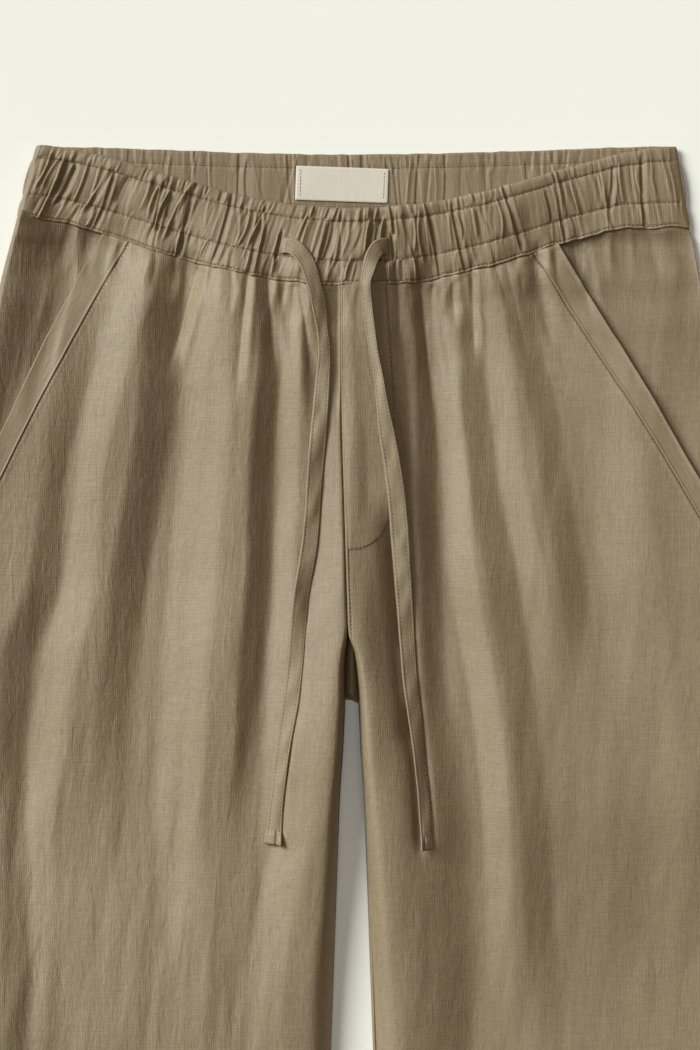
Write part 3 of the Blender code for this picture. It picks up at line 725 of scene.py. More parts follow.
def new_group(name, inputs, outputs):
    """An empty shader node group with named float or vector inputs and outputs."""
    tree = bpy.data.node_groups.new(name, "ShaderNodeTree")
    for label, kind, default in inputs:
        made = tree.interface.new_socket(name=label, in_out="INPUT", socket_type=kind)
        if default is not None:
            made.default_value = default
    for label, kind in outputs:
        tree.interface.new_socket(name=label, in_out="OUTPUT", socket_type=kind)
    return tree, tree.nodes.new("NodeGroupInput"), tree.nodes.new("NodeGroupOutput")


class Nodes:
    """Short calls that add nodes to one tree and link their inputs."""

    def __init__(self, tree):
        self.tree = tree

    def add(self, kind, inputs=(), **settings):
        made = self.tree.nodes.new(kind)
        for key, value in settings.items():
            setattr(made, key, value)
        for key, value in dict(inputs).items():
            if isinstance(value, bpy.types.NodeSocket):
                self.tree.links.new(value, made.inputs[key])
            else:
                made.inputs[key].default_value = value
        return made

    def math(self, operation, a, b=0.0, c=0.0):
        return self.add("ShaderNodeMath", {0: a, 1: b, 2: c}, operation=operation).outputs[0]

    def scaled(self, vector, scale):
        return self.add("ShaderNodeVectorMath", {0: vector, 1: scale}, operation="MULTIPLY").outputs[0]

    def about_zero(self, fac, size):
        return self.math("MULTIPLY_ADD", fac, size, -size / 2)

    def noise(self, vector, scale, detail=2.0, distortion=0.0):
        made = self.add(
            "ShaderNodeTexNoise",
            {"Vector": self.scaled(vector, scale), "Scale": 1.0, "Detail": detail, "Distortion": distortion},
        )
        return made.outputs["Fac"]


def linen_group():
    """Slubby plain-weave linen: how light each place is, and how high its threads stand, in millimetres.

    Tone is 1 plus slubs along the cloth and across it and cloudy wear, each a stretched noise about 0. Height
    is the sum of two crossed thread waves, the slubs and long narrow ripples.
    """
    inputs = (
        ("Vector", "NodeSocketVector", None),
        ("Slub", "NodeSocketFloat", 1.0),
        ("Cloud", "NodeSocketFloat", 1.0),
        ("Ripple", "NodeSocketFloat", 1.0),
    )
    outputs = (("Tone", "NodeSocketFloat"), ("Height", "NodeSocketFloat"))
    tree, given, out = new_group("linen weave", inputs, outputs)
    n = Nodes(tree)
    vector, slub, cloud, ripple = (given.outputs[name] for name in ("Vector", "Slub", "Cloud", "Ripple"))
    fine = n.noise(vector, (1150.0, 330.0, 150.0), 3.0)
    long = n.noise(vector, (650.0, 100.0, 60.0), 2.0)
    weft = n.noise(vector, (90.0, 1300.0, 120.0), 2.0)
    clouds = n.noise(vector, (16.0, 9.0, 10.0), 3.0)
    crossed = n.about_zero(fine, 0.42)
    crossed = n.math("ADD", crossed, n.about_zero(long, 0.26))
    crossed = n.math("ADD", crossed, n.about_zero(weft, 0.40))
    tone = n.math("MULTIPLY_ADD", crossed, slub, 1.0)
    tone = n.math("MULTIPLY_ADD", n.about_zero(clouds, 0.16), cloud, tone)
    wave = {"Vector": vector, "Scale": 270.0, "Distortion": 1.5, "Detail": 1.0}
    warp, weft_wave = (n.add("ShaderNodeTexWave", wave, bands_direction=axis).outputs["Fac"] for axis in "XY")
    threads = n.math("ADD", warp, weft_wave)
    height = n.math("MULTIPLY_ADD", threads, 0.04, n.math("MULTIPLY", crossed, 0.16))
    narrow = n.about_zero(n.noise(vector, (430.0, 140.0, 60.0), 2.0, 0.7), 0.26)
    wide = n.about_zero(n.noise(vector, (190.0, 44.0, 40.0), 2.0, 0.9), 0.58)
    height = n.math("MULTIPLY_ADD", n.math("ADD", narrow, wide), ripple, height)
    tree.links.new(tone, out.inputs["Tone"])
    tree.links.new(height, out.inputs["Height"])
    return tree


def cloth_material(name, colour, by_uv=False, slub=1.0, cloud=1.0, ripple=(0.4, 0.4), bump=1.0):
    """A woven cloth: its colour times the weave's tone, and the weave's height as bump.

    ripple is how strong its ripples are on the wearer's right leg, and on the left one.
    """
    made = bpy.data.materials.new(name)
    made.use_nodes = True
    n = Nodes(made.node_tree)
    shader = made.node_tree.nodes["Principled BSDF"]
    place_of = n.add("ShaderNodeTexCoord").outputs["Object"]
    where = n.add("ShaderNodeUVMap", uv_map="cloth").outputs[0] if by_uv else place_of
    weave = n.add("ShaderNodeGroup", node_tree=LINEN)
    made.node_tree.links.new(where, weave.inputs["Vector"])
    weave.inputs["Slub"].default_value = slub
    weave.inputs["Cloud"].default_value = cloud
    if ripple[0] == ripple[1]:
        weave.inputs["Ripple"].default_value = ripple[0]
    else:
        x = n.add("ShaderNodeSeparateXYZ", {0: place_of}).outputs["X"]
        strength = {"Value": x, 1: -0.20, 2: 0.10, 3: ripple[0], 4: ripple[1]}
        made.node_tree.links.new(n.add("ShaderNodeMapRange", strength).outputs[0], weave.inputs["Ripple"])
    tinted = n.add("ShaderNodeVectorMath", {0: colour, "Scale": weave.outputs["Tone"]}, operation="SCALE")
    relief = {"Height": weave.outputs["Height"], "Strength": bump, "Distance": 0.001}
    bumped = n.add("ShaderNodeBump", relief)
    made.node_tree.links.new(tinted.outputs[0], shader.inputs["Base Color"])
    made.node_tree.links.new(bumped.outputs["Normal"], shader.inputs["Normal"])
    shader.inputs["Roughness"].default_value = ROUGHNESS
    shader.inputs["Specular IOR Level"].default_value = SHINE
    return made


# ---------------------------------------------------------------- camera, lights and floor


CAMERA_PLACE = (-0.0013, 0.288, 1.911)
CAMERA_LENS = 100.0
SUNS = {  # where it shines from, how strong it is, its colour
    "key": ((-1.6, 0.95, 1.21), 4.6, (0.93, 1.0, 1.06)),
    "top": ((-0.01, 0.0, 1.0), 0.5, (1.12, 1.0, 0.86)),
}
SUN_SPREAD = 0.60
ROOM_COLOUR, ROOM_GLOW = (1.30, 1.0, 0.80, 1.0), 0.06
FLOOR_HALF = 20.0
# The floor's glow is painted light: a faint bluish emission that lightens and cools the floor where it lies in
# shade.
FLOOR_COLOUR, FLOOR_PAINTED_GLOW = (0.858, 0.826, 0.698, 1.0), (0.018, 0.038, 0.062, 1.0)


def set_camera():
    """Straight above, over the waist and thighs."""
    data = bpy.data.cameras.new("camera")
    data.lens, data.sensor_width = CAMERA_LENS, 36.0
    camera = bpy.data.objects.new("camera", data)
    camera.location = CAMERA_PLACE
    bpy.context.scene.collection.objects.link(camera)
    bpy.context.scene.camera = camera


def add_sun(name, location, energy, colour):
    """A soft sun that shines from location towards the origin."""
    data = bpy.data.lights.new(name, "SUN")
    data.energy, data.angle, data.color = energy, SUN_SPREAD, colour
    light = bpy.data.objects.new(name, data)
    light.location = location
    direction = -np.array(location) / np.linalg.norm(location)
    light.rotation_euler = (0.0, np.arccos(-direction[2]), np.arctan2(-direction[1], -direction[0]))
    bpy.context.scene.collection.objects.link(light)


def set_studio():
    """The key sun, a weak one overhead, a faint glow all round and a pale floor that gives off a faint bluish
    painted glow.
    """
    for name, (location, energy, colour) in SUNS.items():
        add_sun(name, location, energy, colour)
    world = bpy.data.worlds.new("studio")
    world.use_nodes = True
    background = world.node_tree.nodes["Background"]
    background.inputs["Color"].default_value = ROOM_COLOUR
    background.inputs["Strength"].default_value = ROOM_GLOW
    bpy.context.scene.world = world
    bpy.context.scene.view_settings.view_transform = "Standard"
    corners = FLOOR_HALF * np.array([(-1, -1, 0), (1, -1, 0), (1, 1, 0), (-1, 1, 0)])
    add_mesh("floor", corners, np.array([[0, 1, 2, 3]]), floor_material())


def floor_material():
    made = bpy.data.materials.new("pale paper with painted glow")
    made.use_nodes = True
    shader = made.node_tree.nodes["Principled BSDF"]
    shader.inputs["Base Color"].default_value = FLOOR_COLOUR
    # The emission is painted light: a faint bluish glow, seen most where the floor lies in shade.
    shader.inputs["Emission Color"].default_value = FLOOR_PAINTED_GLOW
    shader.inputs["Emission Strength"].default_value = 1.0
    shader.inputs["Roughness"].default_value = 1.0
    shader.inputs["Specular IOR Level"].default_value = 0.0
    return made


# ---------------------------------------------------------------- the pieces


def finish_piece(piece, slot, *nodes):
    """Puts a piece on the body in the place of its nodes, which it hides. The slot is not used."""
    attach(piece, "root")
    if nodes:
        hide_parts(*nodes)
    return piece


def edge_of(pocket, which, q):
    """u of the pocket's opening or seam at q: a straight slant that ends at the side seam."""
    start, end = getattr(pocket, which + "_u"), getattr(pocket, which + "_end")
    return np.minimum(1.0, start + (1 - start) * q / end)


def panel_points(side, q, u):
    """x and down on a front panel for q along it and u across it."""
    over = band_seam(u)
    over = band_seam(u_in_band(across(side, u, over), over)) + 0.0008
    top = over + seam_wave(across(side, u, over))
    down = top + q * (LENGTH - top)
    return across(side, u, down), down


def panel_rows():
    """Places down a front panel: a tuck under the waistband, then rows that lie close at the gathers."""
    gathered = np.linspace(0.0, 0.055, 38)[:-1]
    shown = np.linspace(0.055, 0.54, 156)[:-1]
    below = np.linspace(0.54, 1.0, 64)
    return np.concatenate([[-0.0045, -0.0022], gathered, shown, below])[:, None]


def make_front_panel(name, pocket):
    """A front panel: a grid from the centre seam or inseam to the pocket's seam or the side seam.

    It lies at front_height, apart from a tuck under the waistband and a low ridge beside the pocket's seam.
    """
    q = np.sort(np.append(panel_rows(), pocket.seam_end))[:, None]
    at_seam = np.array([0.0, 0.0004, 0.0008, 0.0012, 0.0016, 0.0021, 0.0027, 0.0034]) / HALF_HIP
    columns = rolled_columns(156)
    u = np.concatenate([at_seam, columns[columns > 0.017]]) * edge_of(pocket, "seam", np.maximum(q, 0))
    x, down = panel_points(pocket.side, q, u)
    z = front_height(x, down)
    z -= TUCK * ease(-q / 0.0045)
    beside_pocket = ease((pocket.seam_end - q) / 0.01)
    z[:, -1:] -= 0.0003 * beside_pocket
    z += 0.0004 * hump(np.abs(x - x[:, -1:]), 0.0013, 0.0007) * beside_pocket
    grid = place(x, down, z)
    panel = shell(f"linen_front_{name}", grid, CLOTH, MATERIALS["panel"])
    return finish_piece(panel, "linen", f"front_{name}")


def make_pocket_band(name, pocket):
    """The band along a pocket's slant opening: a strip of the front from the pocket's seam to its opening.

    It lies just above front_height, with a ridge beside its seam. On the wearer's left its free edge lifts.
    """
    q = np.linspace(-0.004, pocket.seam_end - 0.0012, 132)[:, None]
    seam, opening = edge_of(pocket, "seam", q), edge_of(pocket, "opening", q)
    gap = 0.0003 / HALF_HIP
    u = seam + gap + (opening - seam - gap) * rolled_columns(28, 0.10, 6)
    x, down = panel_points(pocket.side, q, u)
    width = (u - u[:, :1]) / np.maximum(u[:, -1:] - u[:, :1], 1e-6)
    z = front_height(x, down) + 0.0004
    z += 0.0005 * hump(width, 0.055, 0.030) - 0.0003 * hump(width, 0.0, 0.03)
    z += 0.0008 * ease((width - 0.85) / 0.15) * (pocket.side > 0)
    z -= TUCK * ease(-q / 0.004)
    grid = place(x, down, z)
    band = shell(f"linen_pocket_band_{name}", grid, POCKET_CLOTH, MATERIALS["band"], cloth_uv(grid))
    return finish_piece(band, "linen", f"pocket_band_{name}")


def make_pocket_facing(name, pocket):
    """The side piece that shows outside a pocket's opening: it runs from under the band to the side seam.

    It lies at front_height, moved in by FACING_DROP at the opening, by a tenth of that at the side seam, and
    by less where the opening ends.
    """
    q = np.linspace(-0.004, pocket.opening_end, 100)[:, None]
    opening = edge_of(pocket, "opening", q)
    start = opening - FACING_UNDERLAP
    u = start + (1 - start) * rolled_columns(60, 0.10, 8)
    x, down = panel_points(pocket.side, q, u)
    grid = place(x, down, front_height(x, down) - TUCK * ease(-q / 0.004))
    from_opening = (u - opening) / np.maximum(1 - opening, 0.02)
    narrowing = np.minimum((1 - opening) / 0.05, 1.0)
    drop = FACING_DROP * (0.35 + 0.65 * narrowing) * (1 - 0.9 * ease(from_opening / 0.8))
    grid = grid - drop[..., None] * normals_of(grid)
    # Its material holds painted shade: the same linen coloured darker.
    facing = shell(f"linen_pocket_facing_{name}", grid, CLOTH, MATERIALS["facing"])
    return finish_piece(facing, "linen", f"pocket_facing_{name}")


def make_waistband_front():
    """The waistband's front: its gathered face at band_height, in columns that lean as its pleats do."""
    near_row = np.linspace(-0.03, 0.03, 5)
    parts = [np.linspace(0.0, 1.0, 26), TOP_ROW + near_row, LOW_ROW + near_row, np.linspace(0.92, 1.0, 10)]
    v = np.unique(np.concatenate(parts))[:, None]
    u = np.linspace(-1.0, 1.0, 1001)[None, :]
    u = u + band_lean(0.22 * u) * (v - 0.5) * BAND_TALL / 0.22 * (1 - u**6)
    top, low = band_top(u), band_seam(u)
    down = top + v * (low - top)
    between_rows = np.clip((v - TOP_ROW) / (LOW_ROW - TOP_ROW), 0, 1)
    bulge = 0.0016 * np.sqrt(np.clip(np.sin(np.pi * between_rows), 0, 1))
    bulge = bulge + 0.0008 * np.sin(np.pi * np.clip((v - LOW_ROW) / (1 - LOW_ROW), 0, 1))
    x = section("lean", down) + u * (section("half_width", down) + bulge * u**12)
    z = band_height(x, v, down)
    wave = seam_wave(x) * ease((v - 0.75) / 0.25)
    down = down + wave + 0.0004 * noise(x / 0.006, 0 * v, 41) * (1 - v)
    edge = 0.0006 * ease((v - 0.99) / 0.01) + 0.0005 * ease((0.02 - v) / 0.02)
    grid = place(x, down, z - edge)
    # Its material holds painted shade of the creases: the same linen coloured darker.
    band = shell("linen_waistband_front", grid, BAND_CLOTH, MATERIALS["waistband"])
    return finish_piece(band, "linen", "waistband_front")


BACK_CREASES = (
    seeded_creases(51, 0.0078, 0.0008, 0.0, BACK_BAND, lambda x: 0.03, (0.0006, 0.0022))
    + seeded_creases(54, 0.0125, -0.0006, 0.0, BACK_BAND, lambda x: 0.03, (0.0005, 0.0010), 0.04, False)
    + seeded_creases(53, 0.0060, 0.0006, -0.002, TOP_ROW * BACK_BAND + 0.004, lambda x: 0.0, (0.0008, 0.0014))
)


def back_band_top(x, u, v):
    """The inner face of the waistband's back, which turns up to meet the front at its ends."""
    end = quarter((1 - np.abs(u)) * 12)
    under_label = hump(x, LABEL_X, 0.034, 6) * ease((v - 0.20) / 0.06)
    ripple = creased(x, v * BACK_BAND, BACK_CREASES) + 0.0005 * noise(x / 0.02, v * 2, 52)
    ripple = 0.0010 + ripple * (1 - 0.75 * under_label)
    row = hump(v, TOP_ROW, 0.018) + hump(v, LOW_ROW, 0.018)
    return 0.0026 + (0.0009 + ripple - 0.0005 * row) * end + 0.0018 * (1 - end)


def make_waistband_back():
    """The waistband's back: its inner face shows above the front, and its outer face lies on the floor."""
    v = np.linspace(0.0, 1.0, 40)[:, None]
    u = np.linspace(-1.0, 1.0, 801)[None, :]
    down = BACK_DIP * swag(u) + v * BACK_BAND
    x = x_in_band(u, down)
    down = down + 0.0003 * noise(x / 0.007, 0 * v, 43)
    top = back_band_top(x, u, v)
    bottom = np.maximum(top - 0.0022 - 0.0006 * quarter((1 - np.abs(u)) * 12), 0.0)
    grid = place(x, down, np.maximum(top, bottom + 0.0009))
    # Its material holds painted shade: the same linen coloured darker.
    band = shell("linen_waistband_back", grid, 0.0015, MATERIALS["inside"], inner=place(x, down, bottom))
    return finish_piece(band, "linen", "waistband_back")


def make_back_panel(name, side):
    """A back panel: flat where it rests, with shallow folds, and curled up at the side seam and the inseam.

    Where the seat seam shows between the legs it stands up in a ridge, and its edge slants down to one side.
    """
    panel_top = 0.057
    crotch = (BACK_CROTCH_DOWN - panel_top) / (LENGTH - panel_top)
    q = np.concatenate([np.linspace(0.0, 1.0, 160), crotch + np.linspace(-0.006, 0.006, 25)])
    q = np.unique(q)[:, None]
    u = rolled_columns(74)[None, :]
    top = BACK_DIP * swag(u) + BACK_BAND + 0.0008
    down = top + q * (LENGTH - top)
    opened = section("gap", down) * ease((down - BACK_CROTCH_DOWN) / 0.0008)
    middle = side * np.where(down < BACK_CROTCH_DOWN, 0.0003, np.maximum(opened, 0.0003))
    side_seam = section("lean", down) + side * section("half_width", down)
    x = middle + u * (side_seam - middle)
    below = down - BACK_CROTCH_DOWN
    side_curl = 1 - quarter(np.abs(side_seam - x) / BACK_ROLL)
    inseam_curl = (1 - quarter(np.abs(x - middle) / BACK_ROLL)) * ease((below - 0.004) / 0.02)
    folds = np.maximum(0.0, 0.0022 * noise(x / 0.045, down / 0.28, 61 + int(side)) - 0.0004)
    folds = folds + np.maximum(0.0, 0.0010 * noise(x / 0.012, down / 0.09, 65 + int(side)) - 0.0003)
    inside = ease(u / 0.05) * ease((1 - u) / 0.08)
    seam_ridge = hump(x, 0.0, 0.0050) * ease((down - SEAT_RIDGE[0][0]) / 0.012)
    seam_ridge = seam_ridge * ease((0.001 - below) / 0.006)
    rise = read(SEAT_RIDGE, down)
    crest = 0.0009 * hump(x, -0.0022, 0.0006) - 0.0008 * hump(x, -0.0034, 0.0006)
    bottom = BACK_RIM * np.maximum(side_curl, inseam_curl) + folds * inside + (rise + crest) * seam_ridge
    down = down + 0.33 * x * hump(x, 0.0, 0.016) * hump(below, 0.0, 0.010)
    grid = place(x, down, bottom + BACK_CLOTH)
    panel = shell(f"linen_back_{name}", grid, BACK_CLOTH, MATERIALS["panel"], inner=place(x, down, bottom))
    return finish_piece(panel, "linen", f"back_{name}")


def make_fly():
    """The mock fly: a strip beside the centre seam that ends in a curve, pressed flat on the front."""
    straight, turn = 110, np.linspace(0.0, np.pi / 2, 14)[1:]
    start = band_seam(0.06) - 0.002
    curve = FLY_CURVE_DOWN + (FLY_END_DOWN - FLY_CURVE_DOWN) * np.sin(turn)
    down = np.concatenate([np.linspace(start, FLY_CURVE_DOWN, straight), curve])
    narrowed = np.concatenate([np.ones(straight), np.maximum(np.cos(turn), 0.06)])
    width = (read(FLY_BOW, down) * narrowed)[:, None]
    t = np.linspace(0.0, 1.0, 24)
    x = section("seam_x", down)[:, None] + FLY_INSET + width * t
    down = np.broadcast_to(down[:, None], x.shape)
    edge = np.minimum(np.minimum((1 - t) * width, t * width + 0.0004), (FLY_END_DOWN - down) + 0.0002)
    z = front_height(x, down) + 0.0006 * ease(edge / 0.0022) - 0.0002
    grid = place(x, down, z)
    fly = shell("linen_fly_facing", grid, 0.0005, MATERIALS["panel"])
    return finish_piece(fly, "linen", "fly_facing")


def surface_height(x, down):
    """The highest of the front and the waistband at a place."""
    u = u_in_band(x, down)
    v = (down - band_top(u)) / (band_seam(u) - band_top(u))
    on_band = band_height(x, np.clip(v, 0, 1), down)
    on_front = front_height(x, down, under_cords=True) + 0.0004
    return np.where(v <= 1.0, on_band, on_front)


def cord_steps(name):
    """Even distances along a cord, from its exit to its end."""
    length = distances(CORD_ROUTES[name])[-1]
    return np.linspace(0.0, length, round(length / CORD_STEP) + 1)


def route_at(route, at):
    """The (x, down) of a smooth curve through the route at each distance from its start, and its headings."""
    along = distances(route)
    here, ahead, behind = (
        np.stack([through(at + shift, along, values) for values in zip(*route)], axis=1)
        for shift in (0.0, 0.004, -0.004)
    )
    heading = ahead - behind
    return here, heading / np.linalg.norm(heading, axis=1)[:, None]


def smooth(values, reach):
    """A running mean over reach samples to each side."""
    kernel = np.hanning(2 * reach + 3)[1:-1]
    padded = np.pad(values, reach, mode="edge")
    return np.convolve(padded, kernel / kernel.sum(), mode="valid")


def cord_surface(name, t, at):
    """Points of a cord's upper face: t runs across it from -1 to 1, and at along it from its exit.

    It tilts with the cloth below it, and more where CORD_TILTS says, rests on the highest place under each
    cross-section, and is crowned, rumpled and a little twisted. Its end is turned up and curls on one side.
    """
    to_curl = t * CORD_CURLS[name]
    from_end = at - at[-1]
    middle, heading = route_at(CORD_ROUTES[name], at)
    half = read(CORD_WIDTHS[name], at) / 2
    sideways = np.stack([heading[:, 1], -heading[:, 0]], axis=1) * half[:, None]
    ground_t = np.linspace(-1.0, 1.0, 9)
    ground_x, ground_down = (middle[:, k : k + 1] + sideways[:, k : k + 1] * ground_t for k in (0, 1))
    ground = surface_height(ground_x, ground_down)
    tilt = smooth((ground[:, 6:].mean(axis=1) - ground[:, :3].mean(axis=1)) / 1.5, 5)
    level = (ground - tilt[:, None] * ground_t).max(axis=1)
    level = smooth(np.maximum(level, smooth(level, 3)), 3) + 0.0001
    x = middle[:, :1] + sideways[:, :1] * t
    down = middle[:, 1:] + sideways[:, 1:] * t
    hem = 0.0006 * ease((from_end + 0.0075) / 0.001)
    dip = 0.0040 * ease((0.0020 - at) / 0.0020)
    z = (level - dip + hem)[:, None] + tilt[:, None] * t + CORD_CLOTH
    z += 0.0003 * (1 - t**2) - 0.0006 * np.abs(t) ** 16
    z += 0.00012 * hump(np.abs(t), 0.82, 0.10) - 0.00016 * hump(np.abs(t), CORD_STITCH, 0.06)
    rumple = 0.0007 * noise((at[:, None] + 0.003 * t) / 0.013, 0.9 * t + 3.0 * CORD_CURLS[name], 73)
    z += rumple * (1 - t**4)
    lean = read(CORD_TILTS[name], at)
    twist = 0.0008 * noise(at / 0.035, 0 * at + CORD_CURLS[name], 72)
    z += (twist + lean)[:, None] * t + 0.7 * np.abs(lean)[:, None]
    z += 0.0030 * ease((to_curl - 0.35) / 0.65) * ease((from_end + 0.009) / 0.009)[:, None]
    z -= 0.0014 * hump(to_curl, 0.34, 0.10) * ease((from_end + 0.010) / 0.004)[:, None]
    return x, down, z


def make_cord(name):
    """A flat, edge-stitched cord on the front: it starts down in its slit, and its turned end curls."""
    at, t = cord_steps(name), np.linspace(-1.0, 1.0, 21)
    x, down, z = cord_surface(name, t, at)
    grid = place(x, down, z)
    uv = np.stack(np.meshgrid(t * CORD_WIDTH / 2, at), axis=-1)
    cord = shell(name + "_ribbon", grid, CORD_CLOTH, MATERIALS["cord"], uv)
    line = place(x[:, 10], down[:, 10], z[:, 10] - CORD_CLOTH / 2)
    return finish_piece(cord, "linen_cord", name)


def label_place(i, j, lift=0.0):
    """Points i along the label and j down it from its middle."""
    x = LABEL_X + i * np.cos(LABEL_TURN) + j * np.sin(LABEL_TURN)
    down = LABEL_DOWN - i * np.sin(LABEL_TURN) + j * np.cos(LABEL_TURN)
    return place(x, down, LABEL_HIGH + 0.0003 * noise(i / 0.02 + 5, j / 0.02 + 5, 81) + lift)


def make_label():
    """A woven label with no lettering, sewn inside the back of the waistband."""
    across_it, down_it = np.linspace(-0.5, 0.5, 61), np.linspace(-0.5, 0.5, 23)
    grid = label_place(*np.meshgrid(across_it * LABEL_WIDTH, down_it * LABEL_HEIGHT))
    label = shell("woven_label", grid, LABEL_CLOTH, MATERIALS["label"], cloth_uv(grid))
    return finish_piece(label, "label_tape", "label")


# ---------------------------------------------------------------- stitches


STITCH_SHARE = 0.66
TACK_PLACES, TACK_ENDS, TACK_HIGH = (-0.0137, 0.0), (0.0080, 0.0130), 0.0050


def stitch_places(points, pitch):
    """The starts and ends of the stitches along a path of points: each is STITCH_SHARE of the pitch long."""
    along = distances(points)
    middles = np.arange(pitch / 2, along[-1], pitch)
    at_place = lambda where: np.stack([np.interp(where, along, points[:, k]) for k in range(3)], axis=1)
    half = STITCH_SHARE / 2 * pitch
    return at_place(middles - half), at_place(middles + half)


def make_stitches(name, paths, finish, slot, pitch=0.0028, thick=0.00042):
    """Rows of stitches, each a short rod along its path: four rings of four corners, narrow at its ends."""
    ends = [stitch_places(np.asarray(path), pitch) for path in paths]
    start, end = (np.concatenate([pair[k] for pair in ends]) for k in (0, 1))
    along = end - start
    side = np.cross(along, (0.0, 0.0, 1.0))
    side /= np.linalg.norm(side, axis=1)[:, None]
    up = np.cross(side, along)
    up /= np.linalg.norm(up, axis=1)[:, None]
    rings = []
    for share, size in ((0.0, 0.35), (0.15, 1.0), (0.85, 1.0), (1.0, 0.35)):
        for turn in np.arange(4) * np.pi / 2:
            out = side * np.cos(turn) + up * np.sin(turn) * 0.8
            rings.append(start + along * share + out * size * thick / 2)
    points = np.stack(rings, axis=1).reshape(-1, 3)
    walls = [(r + k, r + (k + 1) % 4, r + 4 + (k + 1) % 4, r + 4 + k) for r in (0, 4, 8) for k in range(4)]
    one = np.array(walls + [(3, 2, 1, 0), (12, 13, 14, 15)])
    faces = (np.arange(len(start))[:, None, None] * 16 + one[None]).reshape(-1, 4)
    stitches = add_mesh(name, points, faces, finish)
    return finish_piece(stitches, slot)


def on_front(x, down, lift=0.0002):
    """A path on the front panels."""
    return place(x, down, front_height(x, down) + lift)


def band_row(v):
    """A path across the waistband's front at v, from 4 mm inside one side seam to 4 mm inside the other."""
    end = 1 - 0.004 / 0.21
    u = np.linspace(-end, end, 700)
    down = band_top(u) + v * (band_seam(u) - band_top(u))
    x = x_in_band(u, down)
    z = band_height(x, v, down)
    return place(x, down + seam_wave(x) * ease((v - 0.75) / 0.25), z + 0.0004)


def back_row(v):
    """A path across the waistband's back at v."""
    u = np.linspace(-0.98, 0.98, 600)
    down = BACK_DIP * swag(u) + v * BACK_BAND
    x = x_in_band(u, down)
    return place(x, down, back_band_top(x, u, v) + 0.0002)


def pocket_row(pocket):
    """A path beside a pocket's seam, on the front panel."""
    q = np.linspace(0.0, pocket.seam_end - 0.012, 200)
    return on_front(*panel_points(pocket.side, q, edge_of(pocket, "seam", q) - 0.0009 / HALF_HIP))


def centre_row():
    """A path beside the centre seam."""
    down = np.linspace(0.078, 0.320, 400)
    return on_front(section("seam_x", down) + CENTRE_STITCH, down)


def fly_row():
    """A path down the fly and round its curved end, 1.4 mm inside its edge."""
    inset, turn = 0.0014, np.linspace(0.0, np.pi / 2, 30)
    curve = FLY_CURVE_DOWN + (FLY_END_DOWN - inset - FLY_CURVE_DOWN) * np.sin(turn)
    down = np.concatenate([np.linspace(0.092, FLY_CURVE_DOWN, 200)[:-1], curve])
    width = np.concatenate([np.ones(199), np.cos(turn)]) * (read(FLY_BOW, down) - inset)
    return on_front(section("seam_x", down) + FLY_INSET + width, down, 0.0005)


def hem_row(side):
    """A path across a leg, above its hem."""
    u = np.linspace(0.03, 0.97, 300)
    down = LENGTH - HEM_TALL + 0 * u
    return on_front(across(side, u, down), down)


def make_all_stitches():
    """Every visible row of stitches, each set of rows in one piece."""
    thread = MATERIALS["thread"]
    rows = [band_row(v) for v in (TOP_ROW, LOW_ROW, SEAM_ROW)]
    make_stitches("waistband_stitches", rows, thread, "linen", thick=0.00036)
    make_stitches("waistband_back_stitches", [back_row(TOP_ROW), back_row(LOW_ROW)], thread, "linen")
    rows = [pocket_row(pocket) for pocket in POCKETS.values()] + [centre_row(), fly_row()]
    rows += [hem_row(pocket.side) for pocket in POCKETS.values()]
    make_stitches("panel_stitches", rows, thread, "linen")
    tack_down = np.linspace(*TACK_ENDS, 20)
    tacks = [place(0 * tack_down + x, tack_down, TACK_HIGH) for x in TACK_PLACES]
    make_stitches("label_tacks", tacks, thread, "linen", pitch=0.0016)
    j = np.linspace(-0.42, 0.42, 40) * LABEL_HEIGHT
    ends = [label_place(i + 0 * j, j, 0.0002) for i in (-0.455 * LABEL_WIDTH, 0.455 * LABEL_WIDTH)]
    make_stitches("label_stitches", ends, MATERIALS["label thread"], "label_tape", pitch=0.0022)
    for name in CORD_ROUTES:
        x, down, z = cord_surface(name, np.array([-CORD_STITCH, CORD_STITCH]), cord_steps(name))
        rows = [place(x[4:-4, k], down[4:-4, k], z[4:-4, k] + 0.00008) for k in (0, 1)]
        make_stitches(name + "_stitches", rows, MATERIALS["cord thread"], "linen_cord", pitch=0.0026)


# ---------------------------------------------------------------- the looks and the calls


LINEN = linen_group()
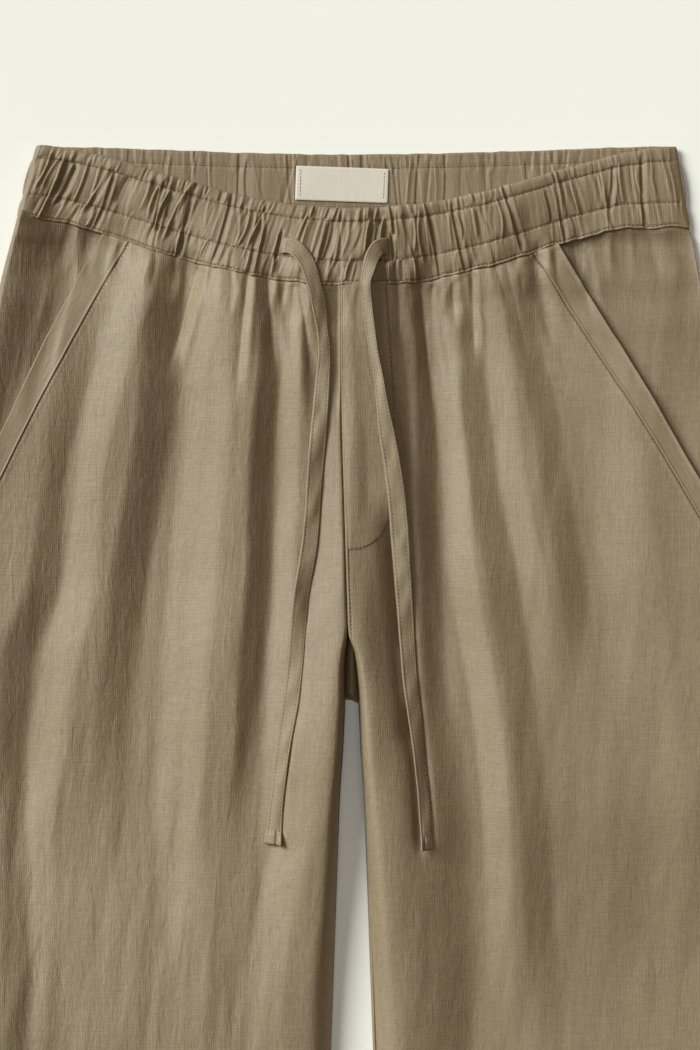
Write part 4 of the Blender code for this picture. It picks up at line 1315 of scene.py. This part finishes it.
# The second khaki is the linen darkened as painted shade, for the pocket facings and the waistband's inside,
# which lie in shade.
KHAKI, KHAKI_PAINTED_SHADE = (0.2520, 0.1855, 0.1035), (0.2230, 0.1590, 0.0850)
# The gathered khaki is the linen darkened as painted shade of the waistband's creases.
KHAKI_PAINTED_CREASE_SHADE, CREAM = (0.2300, 0.1650, 0.0890), (0.65, 0.585, 0.470)
BROWN, DARK_KHAKI, TAUPE = (0.070, 0.048, 0.028), (0.095, 0.066, 0.040), (0.30, 0.22, 0.16)
ROUGHNESS, SHINE = 0.60, 0.6
PLAIN_THREAD = {"slub": 0.0, "cloud": 0.0, "bump": 0.0}
MATERIALS = {
    "panel": cloth_material("khaki linen", KHAKI, ripple=(1.0, 0.45)),
    # The facing material is the same linen coloured darker: painted shade.
    "facing": cloth_material("khaki linen facing with painted shade", KHAKI_PAINTED_SHADE, ripple=(1.0, 0.45)),
    # The gathered waistband's material is the same linen coloured darker: painted crease shade.
    "waistband": cloth_material("khaki linen gathered with painted crease shade", KHAKI_PAINTED_CREASE_SHADE, slub=0.8),
    # The inside material is the same linen coloured darker: painted shade.
    "inside": cloth_material("khaki linen inside with painted shade", KHAKI_PAINTED_SHADE, slub=0.7),
    "band": cloth_material("khaki linen pocket band", KHAKI, by_uv=True, slub=0.8),
    "cord": cloth_material("khaki linen cord", KHAKI, by_uv=True, slub=0.8),
    "thread": cloth_material("brown thread", BROWN, **PLAIN_THREAD),
    "cord thread": cloth_material("khaki thread", DARK_KHAKI, **PLAIN_THREAD),
    "label": cloth_material("cream woven tape", CREAM, by_uv=True, slub=0.20, cloud=0.2, bump=0.4),
    "label thread": cloth_material("taupe thread", TAUPE, **PLAIN_THREAD),
}
set_camera()
for cord_name in CORD_ROUTES:
    make_cord(cord_name)
for pocket_name, pocket in POCKETS.items():
    make_front_panel(pocket_name, pocket)
    make_pocket_band(pocket_name, pocket)
    make_pocket_facing(pocket_name, pocket)
    make_back_panel(pocket_name, pocket.side)
make_waistband_front()
make_waistband_back()
make_fly()
make_label()
make_all_stitches()
set_studio()
